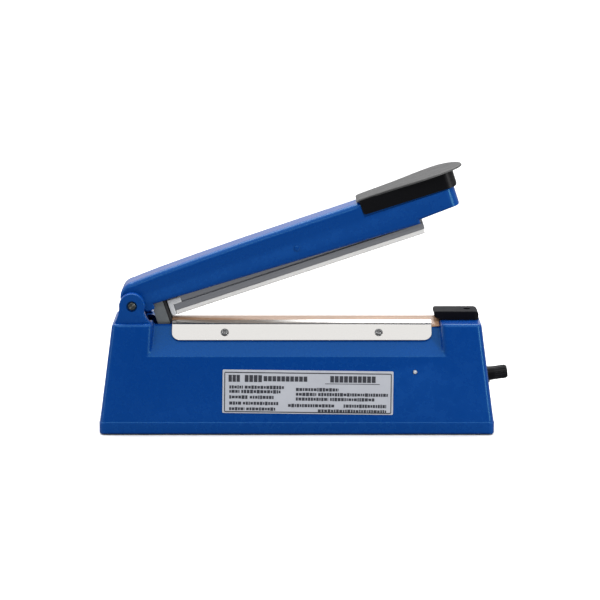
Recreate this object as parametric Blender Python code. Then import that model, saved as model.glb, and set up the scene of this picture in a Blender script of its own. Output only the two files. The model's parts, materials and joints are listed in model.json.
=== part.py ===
"""Hand impulse heat sealer: a moulded base with the sealing jaw, and a sprung arm with the press bar.

Sizes are in millimetres and the mesh builders scale them to metres. +Z is up, X runs along the
sealing jaw, and the operator stands at -Y. The arm and its pieces are modelled in the arm's own
frame, with u along the arm and v up from the hinge axis, and an empty on the axis tilts them.
"""

import math

import bmesh
import bpy
from mathutils import Vector

MM = 0.001
FIT_GAP = 0.3  # clearance between pieces that touch or pass through each other

# Base housing, half sizes where it is symmetric
BASE_CENTRE_X = -5.4  # the knob sticks out at +X, so this centres the whole object
FOOT_HALF_X = 158.8
FOOT_HALF_Y = 39.5
RIM_LOW = 0.8
RIM_HIGH = 11.0
WALL_HALF_X_LOW = 157.6
WALL_HALF_Y_LOW = 38.5
WALL_HALF_X_TOP = 147.2
WALL_HALF_Y_TOP = 29.5
TOWER_TOP = 89.0
CORNER_RADIUS = 5.0
WALL = 2.5

# Saddle between the two towers, which carries the jaw
SADDLE_HALF_X = 115.4
SADDLE_END_FLARE = 0.06  # the saddle widens downwards by this share of the depth
SLOPE_TOP = (-13.0, 85.2)  # y, z where the slanted face meets the ridge's shoulder
SLOPE_FOOT = (-32.45, 63.4)  # y, z where it meets the front wall
RIDGE_EDGE = (-8.6, 87.4)  # y, z of the flat ridge's edge
RIDGE_CORE_LOW = 79.3  # underside of the solid ridge
GROOVE_LOW = 82.0
JAW_LEFT = -100.7
LEVER_SLOT = (-121.5, -101.2)
LEVER_SLOT_HALF_Y = 11.6

# Hinge
HINGE_X = -132.3
HINGE_Z = 102.7
EAR_INNER_Y = 17.0
EAR_OUTER_Y = 25.0
EAR_RADIUS = 10.4
PIN_RADIUS = 2.5
PIN_BORE = PIN_RADIUS + FIT_GAP
PIN_HEAD_RADIUS = 3.3
PIN_RECESS_RADIUS = 4.4
PIN_RECESS_FLOOR = 22.6

# Jaw on the base
BAR_HALF_Y = 5.2
BAR_RIGHT = 113.0
BAR_TOP = 88.9
CLOTH_RIGHT = 115.1
CLOTH_TOP = 89.9
CLOTH_THICKNESS = 0.25
PLATE_LEFT = -100.4
PLATE_RIGHT = 108.5
PLATE_THICKNESS = 0.8
PLATE_FACE = 14.8  # length of the plate's lower leaf, down the slanted face
PLATE_CORNER = 6.5
PLATE_SCREW_X = (-58.0, 66.0)
PLATE_SCREW_DOWN = 7.8  # from the shoulder down the slanted face

# Arm frame
ARM_TILT = math.radians(18.47)
ARM_HALF_Y = 15.3
ARM_END = 275.0
ARM_WALL = 2.5
LOBE_RADIUS = 9.2
TAIL_CENTRE = (4.2, 4.7)
TAIL_RADIUS = 12.4
PIVOT_U = 140.1
PIVOT_V = 1.5
PIVOT_RADIUS = 1.85
CAP_LEFT = 199.5
ARM_TOP = [(199.0, 20.3), (150.0, 20.2), (100.0, 19.9), (60.0, 19.2), (28.0, 18.3), (12.0, 17.5)]
CAP_SKIRT_LOW = 10.0
CAP_SKIRT_RIGHT = 278.0
CAP_HALF_Y = 16.2
CAP_SEAT_V = 19.0
CAP_SEAT_HALF_Y = 14.0
PADDLE_CENTRE = 261.5
PADDLE_RADIUS = 24.8
BAR_START = 30.7
BAR_END = 242.4
STRIP_END = 241.4
LEVER_U = (13.4, 23.3)
LEVER_BOTTOM = -27.0
LEVER_HALF_Y = 8.0
LEVER_SHEET = 1.5

# Bottom, power and timer parts
PLATE_LOW = 4.5
PLATE_HIGH = 5.7
BOSS_X = 146.0
BOSS_Y = 29.0
KNOB_Z = 42.0
LAMP_X = 94.9
LAMP_Z = 51.0
LABEL_CENTRE = (8.9, 35.0)
LABEL_SIZE = (137.0, 35.0)
LABEL_TURN = math.radians(0.7)
GLAND_X = 112.0
GLAND_Z = 26.0
CORE_CENTRE_X = 20.0
CORE_HALF = (33.0, 18.0)
CORE_Z = (6.2, 61.2)
CORE_YOKE = 11.0
SPRING_X = -109.0
SPRING_Y = -3.6
SPRING_Z = (45.0, 80.4)
SPRING_RADIUS = 2.6
SPRING_WIRE = 0.45
SPRING_TURNS = 9

END_WALL_LEAN = math.atan2(WALL_HALF_X_LOW - WALL_HALF_X_TOP, TOWER_TOP - RIM_HIGH)
SIDE_WALL_LEAN = math.atan2(WALL_HALF_Y_LOW - WALL_HALF_Y_TOP, TOWER_TOP - RIM_HIGH)


# ---------------------------------------------------------------- mesh builders

def clear_scene():
    for old in list(bpy.data.objects):
        bpy.data.objects.remove(old, do_unlink=True)


def finish_of(name, colour, roughness, metallic=0.0):
    made = bpy.data.materials.new(name)
    made.use_nodes = True
    shader = made.node_tree.nodes["Principled BSDF"]
    shader.inputs["Base Color"].default_value = (*colour, 1.0)
    shader.inputs["Roughness"].default_value = roughness
    shader.inputs["Metallic"].default_value = metallic
    made.diffuse_color = (*colour, 1.0)
    return made


def add_empty(name, location, parent=None, turn=(0.0, 0.0, 0.0)):
    made = bpy.data.objects.new(name, None)
    bpy.context.scene.collection.objects.link(made)
    made.location = Vector(location) * MM
    made.rotation_euler = turn
    made.parent = parent
    return made


def add_object(name, shape, finish=None, parent=None, smooth=False):
    """Turns a bmesh in millimetres into an object under its parent."""
    bmesh.ops.scale(shape, vec=(MM, MM, MM), verts=shape.verts)
    bmesh.ops.recalc_face_normals(shape, faces=shape.faces)
    mesh = bpy.data.meshes.new(name)
    shape.to_mesh(mesh)
    shape.free()
    if smooth:
        mesh.shade_smooth()
        mesh.set_sharp_from_angle(angle=math.radians(35))
    if finish:
        mesh.materials.append(finish)
    made = bpy.data.objects.new(name, mesh)
    bpy.context.scene.collection.objects.link(made)
    made.parent = parent
    return made


def loft(rings, closed=False):
    """Skins rings of equally many points. An open loft gets a flat cap at each end."""
    shape = bmesh.new()
    rows = [[shape.verts.new(point) for point in ring] for ring in rings]
    pairs = list(zip(rows, rows[1:]))
    if closed:
        pairs.append((rows[-1], rows[0]))
    count = len(rows[0])
    for low, high in pairs:
        for i in range(count):
            j = (i + 1) % count
            shape.faces.new((low[i], low[j], high[j], high[i]))
    if not closed:
        shape.faces.new(rows[0])
        shape.faces.new(rows[-1])
    return shape


def prism(outline, low, high, along):
    """Sweeps an outline, given in the other two axes in X, Y, Z order, from low to high."""
    place = {
        "X": lambda a, b, level: (level, a, b),
        "Y": lambda a, b, level: (a, level, b),
        "Z": lambda a, b, level: (a, b, level),
    }[along]
    return loft([[place(a, b, level) for a, b in outline] for level in (low, high)])


def block(low, high):
    outline = [(low[0], low[1]), (high[0], low[1]), (high[0], high[1]), (low[0], high[1])]
    return prism(outline, low[2], high[2], "Z")


def turned(profile, sides=16, closed=False):
    """Turns (radius, z) points about Z. An open profile is capped flat, a closed one is a ring."""
    rings = []
    for radius, z in profile:
        angles = [math.tau * (i + 0.5) / sides for i in range(sides)]
        rings.append([(radius * math.cos(a), radius * math.sin(a), z) for a in angles])
    return loft(rings, closed)


def rod(radius, low, high, sides=16):
    return turned([(radius, low), (radius, high)], sides)


def ring(inner, outer, low, high, sides=16):
    return turned([(inner, low), (outer, low), (outer, high), (inner, high)], sides, closed=True)


def arc(centre, radius, start, end, steps):
    """Points on an arc, with its angles in degrees."""
    points = []
    for i in range(steps + 1):
        angle = math.radians(start + (end - start) * i / steps)
        points.append((centre[0] + radius * math.cos(angle), centre[1] + radius * math.sin(angle)))
    return points


def rounded_box(half_x, half_y, radius, steps=3):
    """Outline of a rectangle with round corners, about the origin."""
    points = []
    for turn, (sx, sy) in enumerate(((1, 1), (-1, 1), (-1, -1), (1, -1))):
        centre = (sx * (half_x - radius), sy * (half_y - radius))
        points += arc(centre, radius, 90 * turn, 90 * turn + 90, steps)
    return points


def offset_path(path, distance):
    """The open path moved to its left by a distance, with mitred corners."""
    normals = []
    for (ax, ay), (bx, by) in zip(path, path[1:]):
        length = math.hypot(bx - ax, by - ay)
        normals.append((-(by - ay) / length, (bx - ax) / length))
    moved = []
    for i, (x, y) in enumerate(path):
        before = normals[max(i - 1, 0)]
        after = normals[min(i, len(normals) - 1)]
        share = distance / (1.0 + before[0] * after[0] + before[1] * after[1])
        moved.append((x + (before[0] + after[0]) * share, y + (before[1] + after[1]) * share))
    return moved


def strip(path, near, far):
    """Closed outline of a sheet that follows a path between two offsets."""
    return offset_path(path, near) + offset_path(path, far)[::-1]


def mirrored(path):
    """The path followed by its mirror image across the first coordinate."""
    return path + [(-a, b) for a, b in reversed(path)]


def aim(made, position, direction):
    """Places an object with its own Z along a direction."""
    made.location = Vector(position) * MM
    made.rotation_euler = Vector(direction).to_track_quat("Z", "Y").to_euler()
    return made


def boolean(target, tool, operation="DIFFERENCE"):
    """Applies a hidden tool to a target, and keeps both editable."""
    step = target.modifiers.new(f"{operation.lower()} {tool.name}", "BOOLEAN")
    step.operation = operation
    step.solver = "EXACT"
    step.object = tool
    tool.hide_render = True
    tool.display_type = "WIRE"


def wall_half(z):
    """Half length and half width of the housing's outer walls at a height."""
    share = (z - RIM_HIGH) / (TOWER_TOP - RIM_HIGH)
    half_x = WALL_HALF_X_LOW + (WALL_HALF_X_TOP - WALL_HALF_X_LOW) * share
    half_y = WALL_HALF_Y_LOW + (WALL_HALF_Y_TOP - WALL_HALF_Y_LOW) * share
    return half_x, half_y


def on_slope(down, out=0.0):
    """The (y, z) of a point on the front slanted face, by its way down and its height off it."""
    length = math.dist(SLOPE_TOP, SLOPE_FOOT)
    along = ((SLOPE_FOOT[0] - SLOPE_TOP[0]) / length, (SLOPE_FOOT[1] - SLOPE_TOP[1]) / length)
    normal = (along[1], -along[0])
    return (
        SLOPE_TOP[0] + along[0] * down + normal[0] * out,
        SLOPE_TOP[1] + along[1] * down + normal[1] * out,
    )


# ---------------------------------------------------------------- base housing

def housing_ring(z, half_x, half_y, radius):
    return [(x, y, z) for x, y in rounded_box(half_x, half_y, radius)]


def housing_body():
    edge = 1.2
    half_x, half_y = wall_half(TOWER_TOP - edge)
    return loft([
        housing_ring(RIM_LOW, FOOT_HALF_X, FOOT_HALF_Y, CORNER_RADIUS),
        housing_ring(RIM_HIGH - 0.8, FOOT_HALF_X, FOOT_HALF_Y, CORNER_RADIUS),
        housing_ring(RIM_HIGH, WALL_HALF_X_LOW, WALL_HALF_Y_LOW, CORNER_RADIUS),
        housing_ring(TOWER_TOP - edge, half_x, half_y, CORNER_RADIUS),
        housing_ring(TOWER_TOP, half_x - edge, half_y - edge, CORNER_RADIUS - edge),
    ])


def housing_hollow():
    inner_top = TOWER_TOP - WALL
    half_x, half_y = wall_half(inner_top)
    radius = CORNER_RADIUS - 1.5
    return loft([
        housing_ring(RIM_LOW - 2.0, WALL_HALF_X_LOW - WALL, WALL_HALF_Y_LOW - WALL, radius),
        housing_ring(RIM_HIGH, WALL_HALF_X_LOW - WALL, WALL_HALF_Y_LOW - WALL, radius),
        housing_ring(inner_top, half_x - WALL, half_y - WALL, radius),
    ])


def saddle(section, half_x):
    """The space above the jaw's ridge, whose ends lean with the towers."""
    ends = []
    for side in (-1, 1):
        ends.append([
            (side * (half_x + (TOWER_TOP - z) * SADDLE_END_FLARE), y, z) for y, z in section
        ])
    return loft(ends)


def saddle_section(path):
    """Closes a half path over the top of the towers."""
    above = TOWER_TOP + 12.0
    return mirrored(path) + [(-path[0][0], above), (path[0][0], above)]


def ear_outline():
    """Side view of a hinge ear: a round head that flares into the tower."""
    head = arc((HINGE_X, HINGE_Z), EAR_RADIUS, 190, -22, 14)
    left = [(-146.6, 86.0), (-147.0, 88.6), (-143.2, 96.0)]
    right = [(-121.2, 96.0), (-119.2, 92.2), (-116.4, 88.4), (-117.6, 86.0)]
    return left + head + right


def plate_screw_axes():
    """Place and direction of each clamp plate screw, front and rear."""
    y, z = on_slope(PLATE_SCREW_DOWN)
    top = on_slope(PLATE_SCREW_DOWN, 1.0)
    found = []
    for side, side_name in ((1, "front"), (-1, "rear")):
        for x, end_name in zip(PLATE_SCREW_X, ("left", "right")):
            name = f"{side_name}_{end_name}"
            found.append((name, (x, side * y, z), (0.0, side * (top[0] - y), top[1] - z)))
    return found


def make_housing(parent, finish):
    housing = add_object("base_housing", housing_body(), finish, parent)

    reach = on_slope(52.0)
    outer_path = [reach, SLOPE_TOP, RIDGE_EDGE]
    boolean(housing, add_object("saddle_cut", saddle(saddle_section(outer_path), SADDLE_HALF_X),
                                parent=parent))

    hollow = add_object("hollow_cut", housing_hollow(), parent=parent)
    inner_slope = [on_slope(52.0, -WALL), on_slope(0.0, -WALL)]
    rise = (inner_slope[1][1] - inner_slope[0][1]) / (inner_slope[1][0] - inner_slope[0][0])
    shoulder = inner_slope[1][0] - (inner_slope[1][1] - RIDGE_CORE_LOW) / rise
    inner_path = [inner_slope[0], (shoulder, RIDGE_CORE_LOW)]
    inner_saddle = saddle(saddle_section(inner_path), SADDLE_HALF_X + WALL)
    boolean(hollow, add_object("ridge_keep", inner_saddle, parent=parent))
    boolean(housing, hollow)

    for name, side in (("front", -1), ("rear", 1)):
        low, high = sorted((side * EAR_INNER_Y, side * EAR_OUTER_Y))
        ear = add_object(f"ear_{name}", prism(ear_outline(), low, high, "Y"), parent=parent)
        boolean(housing, ear, "UNION")
    for sx in (-1, 1):
        for sy in (-1, 1):
            boss = add_object("boss", rod(5.0, PLATE_HIGH + FIT_GAP, 46.0, 12), parent=parent)
            boss.location = Vector((sx * BOSS_X, sy * BOSS_Y, 0.0)) * MM
            boolean(housing, boss, "UNION")
            hole = add_object("boss_hole", rod(1.45, 0.0, 20.0, 10), parent=parent)
            hole.location = boss.location
            boolean(housing, hole)

    slot = block((LEVER_SLOT[0], -LEVER_SLOT_HALF_Y, 60.0),
                 (LEVER_SLOT[1], LEVER_SLOT_HALF_Y, TOWER_TOP + 8.0))
    boolean(housing, add_object("lever_slot_cut", slot, parent=parent))
    groove_half = BAR_HALF_Y + FIT_GAP
    groove = block((JAW_LEFT + 0.2, -groove_half, GROOVE_LOW),
                   (BAR_RIGHT + FIT_GAP, groove_half, TOWER_TOP + 5.0))
    boolean(housing, add_object("bar_groove_cut", groove, parent=parent))

    bore = add_object("hinge_bore_cut", rod(PIN_BORE, -40.0, 40.0), parent=parent)
    boolean(housing, aim(bore, (HINGE_X, 0.0, HINGE_Z), (0, -1, 0)))
    for side in (-1, 1):
        recess = rod(PIN_RECESS_RADIUS, PIN_RECESS_FLOOR, EAR_OUTER_Y + 3.0, 20)
        cut = add_object("pin_recess_cut", recess, parent=parent)
        boolean(housing, aim(cut, (HINGE_X, 0.0, HINGE_Z), (0, side, 0)))
    return housing


def drill(targets, name, position, direction, radius, low, high, parent, sides=12):
    """One straight hole through several pieces."""
    cutter = add_object(name, rod(radius, low, high, sides), parent=parent)
    aim(cutter, position, direction)
    for target in targets:
        boolean(target, cutter)


# ---------------------------------------------------------------- fixings

def pan_screw(name, position, direction, head, head_height, shank, length, finish, parent):
    """A pan head whose seat is at the position, with its shank against the direction."""
    profile = [
        (shank, -length),
        (shank, 0.0),
        (head, 0.0),
        (head, head_height * 0.35),
        (head * 0.82, head_height * 0.8),
        (head * 0.4, head_height),
    ]
    made = add_object(name, turned(profile, 14), finish, parent, smooth=True)
    return aim(made, position, direction)


# ---------------------------------------------------------------- jaw on the base

def clamp_plate(name, side, parent, finish):
    """Bent sheet on the slanted face, with two round lower corners."""
    path = [on_slope(PLATE_FACE), SLOPE_TOP, RIDGE_EDGE]
    under = FIT_GAP + CLOTH_THICKNESS + FIT_GAP
    section = [(-side * y, z) for y, z in strip(path, under, under + PLATE_THICKNESS)]
    plate = add_object(name, prism(section, PLATE_LEFT, PLATE_RIGHT, "X"), finish, parent)

    lowest = on_slope(PLATE_FACE, under + PLATE_THICKNESS)[0]
    lean = (SLOPE_TOP[0] - SLOPE_FOOT[0]) / math.dist(SLOPE_TOP, SLOPE_FOOT)
    corner = []
    for centre, start in ((PLATE_LEFT + PLATE_CORNER, 180), (PLATE_RIGHT - PLATE_CORNER, 270)):
        for x, y in arc((centre, 0.0), PLATE_CORNER, start, start + 90, 5):
            corner.append((x, lowest + (y + PLATE_CORNER) * lean))
    plan = corner + [(PLATE_RIGHT, -4.0), (PLATE_LEFT, -4.0)]
    plan = [(x, -side * y) for x, y in plan]
    outline = add_object(f"{name}_outline", prism(plan, 60.0, 100.0, "Z"), parent=parent)
    boolean(plate, outline, "INTERSECT")
    return plate


def cloth_section():
    """The cloth's inner line from under the front plate to the middle of the jaw."""
    on_housing = offset_path([on_slope(13.4), SLOPE_TOP, RIDGE_EDGE], FIT_GAP)
    over_bar = [(-5.9, BAR_TOP + 0.2), (-4.4, BAR_TOP + 0.75), (-1.9, CLOTH_TOP)]
    return on_housing + over_bar


def make_jaw(parent, finishes):
    half = BAR_HALF_Y
    bar = [(-half, 82.4), (half, 82.4), (half, BAR_TOP - 0.6), (half - 0.6, BAR_TOP),
           (0.6 - half, BAR_TOP), (-half, BAR_TOP - 0.6)]
    add_object("seal_bar", prism(bar, -95.0, BAR_RIGHT, "X"), finishes["aluminium"], parent)
    add_object("insulation_strip", block((-95.0, -4.2, BAR_TOP + 0.2), (BAR_RIGHT, 4.2, BAR_TOP + 0.45)),
               finishes["tape"], parent)
    add_object("heating_element", block((-99.5, -1.3, BAR_TOP + 0.65), (124.0, 1.3, BAR_TOP + 0.8)),
               finishes["nichrome"], parent)
    path = mirrored(cloth_section())
    sheet = strip(path, 0.0, CLOTH_THICKNESS)
    cloth = add_object("ptfe_cloth", prism(sheet, JAW_LEFT, CLOTH_RIGHT, "X"), finishes["ptfe"], parent)
    plates = [
        clamp_plate("clamp_plate_front", -1, parent, finishes["polished"]),
        clamp_plate("clamp_plate_rear", 1, parent, finishes["polished"]),
    ]
    add_object("terminal_left", block((-100.2, -4.8, 82.4), (-95.4, 4.8, BAR_TOP)),
               finishes["brass"], parent)
    return cloth, plates


def make_terminal_cover(parent, finishes, housing):
    bottom = TOWER_TOP + FIT_GAP
    top = 95.7
    profile = [(117.6, bottom), (146.9, bottom)]
    profile += arc((142.9, top - 4.0), 4.0, 0, 90, 5)
    profile += [(112.5, top), (111.3, top - 1.1), (113.4, top - 3.0)]
    cover = add_object("terminal_cover", prism(profile, -12.0, 12.0, "Y"), finishes["black"], parent)
    hollow = block((100.0, -10.3, 80.0), (131.0, 10.3, 93.5))
    boolean(cover, add_object("cover_hollow", hollow, parent=parent))
    screw_x = 138.0
    drill([cover], "cover_recess", (screw_x, 0, 0), (0, 0, 1), 2.9, 93.3, 99.0, parent, 16)
    drill([cover, housing], "cover_hole", (screw_x, 0, 0), (0, 0, 1), 1.6, 80.0, 94.0, parent)
    pan_screw("cover_screw", (screw_x, 0, 93.6), (0, 0, 1), 2.5, 1.4, 1.25, 10.5,
              finishes["steel"], parent)

    terminal_x = 126.3
    clamp = add_object("terminal_right", block((118.5, -4.0, 89.95), (129.0, 4.0, 91.6)),
                       finishes["brass"], parent)
    drill([clamp, housing], "terminal_hole", (terminal_x, 0, 0), (0, 0, 1), 1.5, 80.0, 95.0, parent)
    pan_screw("terminal_screw", (terminal_x, 0, 91.8), (0, 0, 1), 2.3, 1.2, 1.2, 8.0,
              finishes["steel"], parent)


# ---------------------------------------------------------------- hinge

def make_hinge(parent, finishes):
    centre = (HINGE_X, 0.0, HINGE_Z)
    seat = PIN_RECESS_FLOOR + FIT_GAP
    profile = [(PIN_RADIUS, -24.2), (PIN_RADIUS, seat), (PIN_HEAD_RADIUS, seat),
               (PIN_HEAD_RADIUS, seat + 1.1), (PIN_HEAD_RADIUS - 0.7, seat + 1.7)]
    pin = add_object("hinge_pin", turned(profile, 18), finishes["steel"], parent, smooth=True)
    aim(pin, centre, (0, -1, 0))
    clip = add_object("hinge_clip", ring(PIN_RADIUS + 0.2, 3.8, seat, seat + 1.1),
                      finishes["steel"], parent)
    aim(clip, centre, (0, 1, 0))
    for name, side in (("front", -1), ("rear", 1)):
        washer = add_object(f"hinge_washer_{name}", ring(PIN_BORE, 6.0, 15.6, 16.7),
                            finishes["nylon"], parent)
        aim(washer, centre, (0, side, 0))


# ---------------------------------------------------------------- bottom and feet

def make_bottom(parent, finishes):
    plan = rounded_box(WALL_HALF_X_LOW - WALL - 0.6, WALL_HALF_Y_LOW - WALL - 0.6, 3.0)
    plate = add_object("bottom_plate", prism(plan, PLATE_LOW, PLATE_HIGH, "Z"),
                       finishes["zinc"], parent)
    foot_top = PLATE_LOW - FIT_GAP
    foot = [(3.3, 0.0), (5.7, 0.0), (6.3, 1.0), (6.3, foot_top), (1.6, foot_top), (1.6, 2.7), (3.3, 2.7)]
    for sx, x_name in ((-1, "left"), (1, "right")):
        for sy, y_name in ((-1, "front"), (1, "rear")):
            spot = (sx * BOSS_X, sy * BOSS_Y, 0.0)
            name = f"{y_name}_{x_name}"
            pad = add_object(f"foot_{name}", turned(foot, 18, closed=True), finishes["rubber"],
                             parent, smooth=True)
            pad.location = Vector(spot) * MM
            pan_screw(f"base_screw_{name}", (spot[0], spot[1], 2.4), (0, 0, -1), 2.8, 1.6, 1.15,
                      14.0, finishes["steel"], parent)
            drill([plate], "plate_hole", spot, (0, 0, 1), 1.6, 2.0, 9.0, parent, 10)
    return plate


# ---------------------------------------------------------------- transformer

def make_transformer(parent, finishes, plate):
    half_x, half_y = CORE_HALF
    low, high = CORE_Z
    core = add_object("transformer_core",
                      block((CORE_CENTRE_X - half_x, -half_y, low), (CORE_CENTRE_X + half_x, half_y, high)),
                      finishes["core"], parent)
    limb = half_x / 3.0
    for side in (-1, 1):
        middle = CORE_CENTRE_X + side * (limb + CORE_YOKE / 2.0)
        window = block((middle - CORE_YOKE / 2.0, -half_y - 5.0, low + CORE_YOKE),
                       (middle + CORE_YOKE / 2.0, half_y + 5.0, high - CORE_YOKE))
        boolean(core, add_object("core_window", window, parent=parent))

    coil_z = (low + CORE_YOKE + 0.6, high - CORE_YOKE - 0.6)
    coil = add_object("transformer_coil",
                      prism(rounded_box(limb + CORE_YOKE - 0.5, 27.5, 6.0), *coil_z, "Z"),
                      finishes["coil"], parent)
    hole = prism(rounded_box(limb + 0.5, half_y + 0.5, 1.0, 1), 0.0, 80.0, "Z")
    hole_tool = add_object("coil_hole", hole, parent=parent)
    for made in (coil, hole_tool):
        made.location.x = CORE_CENTRE_X * MM
    boolean(coil, hole_tool)

    foot_reach = 15.0
    inner = half_x + 0.4
    path = [(-inner - foot_reach, PLATE_HIGH + FIT_GAP), (-inner, PLATE_HIGH + FIT_GAP),
            (-inner, high + 0.4), (inner, high + 0.4), (inner, PLATE_HIGH + FIT_GAP),
            (inner + foot_reach, PLATE_HIGH + FIT_GAP)]
    strap = add_object("transformer_strap", prism(strip(path, 0.0, 1.2), -10.0, 10.0, "Y"),
                       finishes["zinc"], parent)
    strap.location.x = CORE_CENTRE_X * MM
    for name, side in (("left", -1), ("right", 1)):
        spot = (CORE_CENTRE_X + side * (inner + 8.5), 0.0, 0.0)
        drill([strap, plate], "strap_hole", spot, (0, 0, 1), 1.9, 2.0, 9.5, parent, 10)
        seat = PLATE_HIGH + FIT_GAP + 1.2 + 0.2
        pan_screw(f"strap_screw_{name}", (spot[0], 0.0, seat), (0, 0, 1), 3.0, 1.8, 1.5, 5.4,
                  finishes["steel"], parent)


# ---------------------------------------------------------------- return spring and switch

def make_spring(parent, finishes, plate):
    left, right = -118.0, -100.2
    outline = [(7.6, 6.0), (21.0, 6.0), (21.0, 7.2), (8.8, 7.2), (8.8, 73.0), (7.6, 73.0),
               (7.6, 44.6), (-8.0, 44.6), (-8.0, 43.4), (7.6, 43.4)]
    bracket = add_object("spring_bracket", prism(outline, left, right, "X"), finishes["zinc"], parent)
    for name, x in (("left", -114.0), ("right", -104.2)):
        drill([bracket, plate], "bracket_hole", (x, 15.0, 0), (0, 0, 1), 1.8, 2.0, 9.5, parent, 10)
        pan_screw(f"bracket_screw_{name}", (x, 15.0, 7.4), (0, 0, 1), 2.8, 1.6, 1.4, 5.0,
                  finishes["steel"], parent)

    steps = 10 * SPRING_TURNS
    low = SPRING_Z[0] + SPRING_WIRE
    rise = (SPRING_Z[1] - SPRING_Z[0] - 2 * SPRING_WIRE) / steps
    sections = []
    for i in range(steps + 1):
        angle = math.tau * SPRING_TURNS * i / steps
        outward = Vector((math.cos(angle), math.sin(angle), 0.0))
        centre = Vector((SPRING_X, SPRING_Y, low + rise * i)) + outward * SPRING_RADIUS
        sections.append([
            centre + outward * SPRING_WIRE * math.cos(a) + Vector((0, 0, SPRING_WIRE * math.sin(a)))
            for a in (math.tau * k / 5 for k in range(5))
        ])
    add_object("return_spring", loft(sections), finishes["steel"], parent, smooth=True)

    switch = add_object("microswitch", block((-116.0, 1.2, 66.0), (-103.2, 7.2, 72.6)),
                        finishes["black"], parent)
    plunger_spot = (-112.0, 4.2, 0.0)
    drill([switch], "plunger_hole", plunger_spot, (0, 0, 1), 1.3, 69.6, 75.0, parent)
    plunger = add_object("switch_plunger",
                         turned([(1.0, 71.2), (1.0, 76.8), (0.6, 77.2)], 12), finishes["nylon"], parent,
                         smooth=True)
    plunger.location = Vector(plunger_spot) * MM


# ---------------------------------------------------------------- timer, lamp, label, gland

def make_timer(knob_axis, finishes, housing):
    """The knob's own frame has Z out of the end wall and X down it."""
    board = add_object("timer_board", block((-18.0, -20.0, -14.4), (26.0, 20.0, -12.8)),
                       finishes["board"], knob_axis)
    parts = (
        ((-14.0, -16.0), (2.0, 2.0), -30.0),
        ((6.0, -14.0), (20.0, 0.0), -26.0),
        ((8.0, 6.0), (22.0, 17.0), -24.0),
    )
    for low, high, depth in parts:
        body = block((*low, depth), (*high, -13.6))
        boolean(board, add_object("board_component", body, parent=knob_axis), "UNION")

    pot = [(8.0, -12.5), (8.0, -WALL - FIT_GAP), (3.3, -WALL - FIT_GAP), (3.3, 2.6), (1.9, 2.6), (1.9, 12.4)]
    add_object("timer_potentiometer", turned(pot, 18), finishes["steel"], knob_axis, smooth=True)
    nut = add_object("potentiometer_nut", ring(3.5, 4.5, FIT_GAP, 2.0, 6), finishes["brass"], knob_axis)
    hole = rod(3.6, -WALL - 3.0, 5.0, 18)
    boolean(housing, add_object("knob_hole", hole, parent=knob_axis))
    bore = rod(3.5, -1.0, 3.0, 16)
    solid_nut = add_object("nut_blank", rod(4.5, FIT_GAP, 2.0, 6), parent=knob_axis)
    boolean(nut, solid_nut, "UNION")
    boolean(nut, add_object("nut_bore", bore, parent=knob_axis))

    knob_profile = [(2.3, 13.0), (2.3, 3.4), (3.7, 3.4), (3.7, 2.6), (4.9, 2.6), (4.9, 0.5),
                    (5.7, 0.5), (5.2, 15.0), (4.6, 15.7)]
    knob = add_object("timer_knob", turned(knob_profile, 24), finishes["black"], knob_axis, smooth=True)
    nib = prism([(5.2, -1.5), (7.4, -0.3), (7.4, 0.3), (5.2, 1.5)], 0.5, 3.2, "Z")
    boolean(knob, add_object("knob_nib", nib, parent=knob_axis), "UNION")


def make_wall_fittings(parent, finishes, housing):
    out = (0.0, -math.cos(SIDE_WALL_LEAN), math.sin(SIDE_WALL_LEAN))
    lamp_spot = (LAMP_X, -wall_half(LAMP_Z)[1], LAMP_Z)
    lamp = [(2.4, -5.5), (2.4, -WALL - FIT_GAP), (1.6, -WALL - FIT_GAP), (1.6, 0.3), (1.3, 1.0), (0.6, 1.4)]
    made = add_object("indicator_lamp", turned(lamp, 14), finishes["lens"], parent, smooth=True)
    aim(made, lamp_spot, out)
    drill([housing], "lamp_hole", lamp_spot, out, 1.9, -WALL - 2.0, 3.0, parent, 14)

    x, z = LABEL_CENTRE
    half = (LABEL_SIZE[0] / 2.0, LABEL_SIZE[1] / 2.0)
    label = add_object("nameplate", prism(rounded_box(*half, 2.0), 0.15, 0.45, "Z"),
                       finishes["label"], parent)
    label.location = Vector((x, -wall_half(z)[1], z)) * MM
    label.rotation_euler = (math.radians(90) - SIDE_WALL_LEAN, LABEL_TURN, 0.0)

    gland_out = (0.0, math.cos(SIDE_WALL_LEAN), math.sin(SIDE_WALL_LEAN))
    gland_spot = (GLAND_X, wall_half(GLAND_Z)[1], GLAND_Z)
    gland = [(3.7, -6.0), (5.8, -6.0), (6.2, -WALL - FIT_GAP), (4.8, -WALL - FIT_GAP), (4.8, 0.2),
             (6.6, 0.2), (6.2, 1.6), (3.7, 1.6)]
    made = add_object("cord_gland", turned(gland, 18, closed=True), finishes["rubber"], parent,
                      smooth=True)
    aim(made, gland_spot, gland_out)
    drill([housing], "gland_hole", gland_spot, gland_out, 5.1, -WALL - 2.0, 4.0, parent, 18)


# ---------------------------------------------------------------- arm

def arm_outline():
    """Side view of the arm, from the hinge lobe along its underside and back over its top."""
    lobe = arc((0.0, 0.0), LOBE_RADIUS, 180, 305, 8)
    underside = [(10.5, -5.2), (240.4, -11.5), (240.7, -8.2)]
    end = arc((ARM_END - 5.0, -1.2), 5.0, -88, 0, 4) + [(ARM_END, CAP_SEAT_V)]
    top = [(CAP_LEFT - 0.5, CAP_SEAT_V)] + ARM_TOP
    tail = arc(TAIL_CENTRE, TAIL_RADIUS, 84, 172, 8)
    return lobe + underside + end + top + tail


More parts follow.
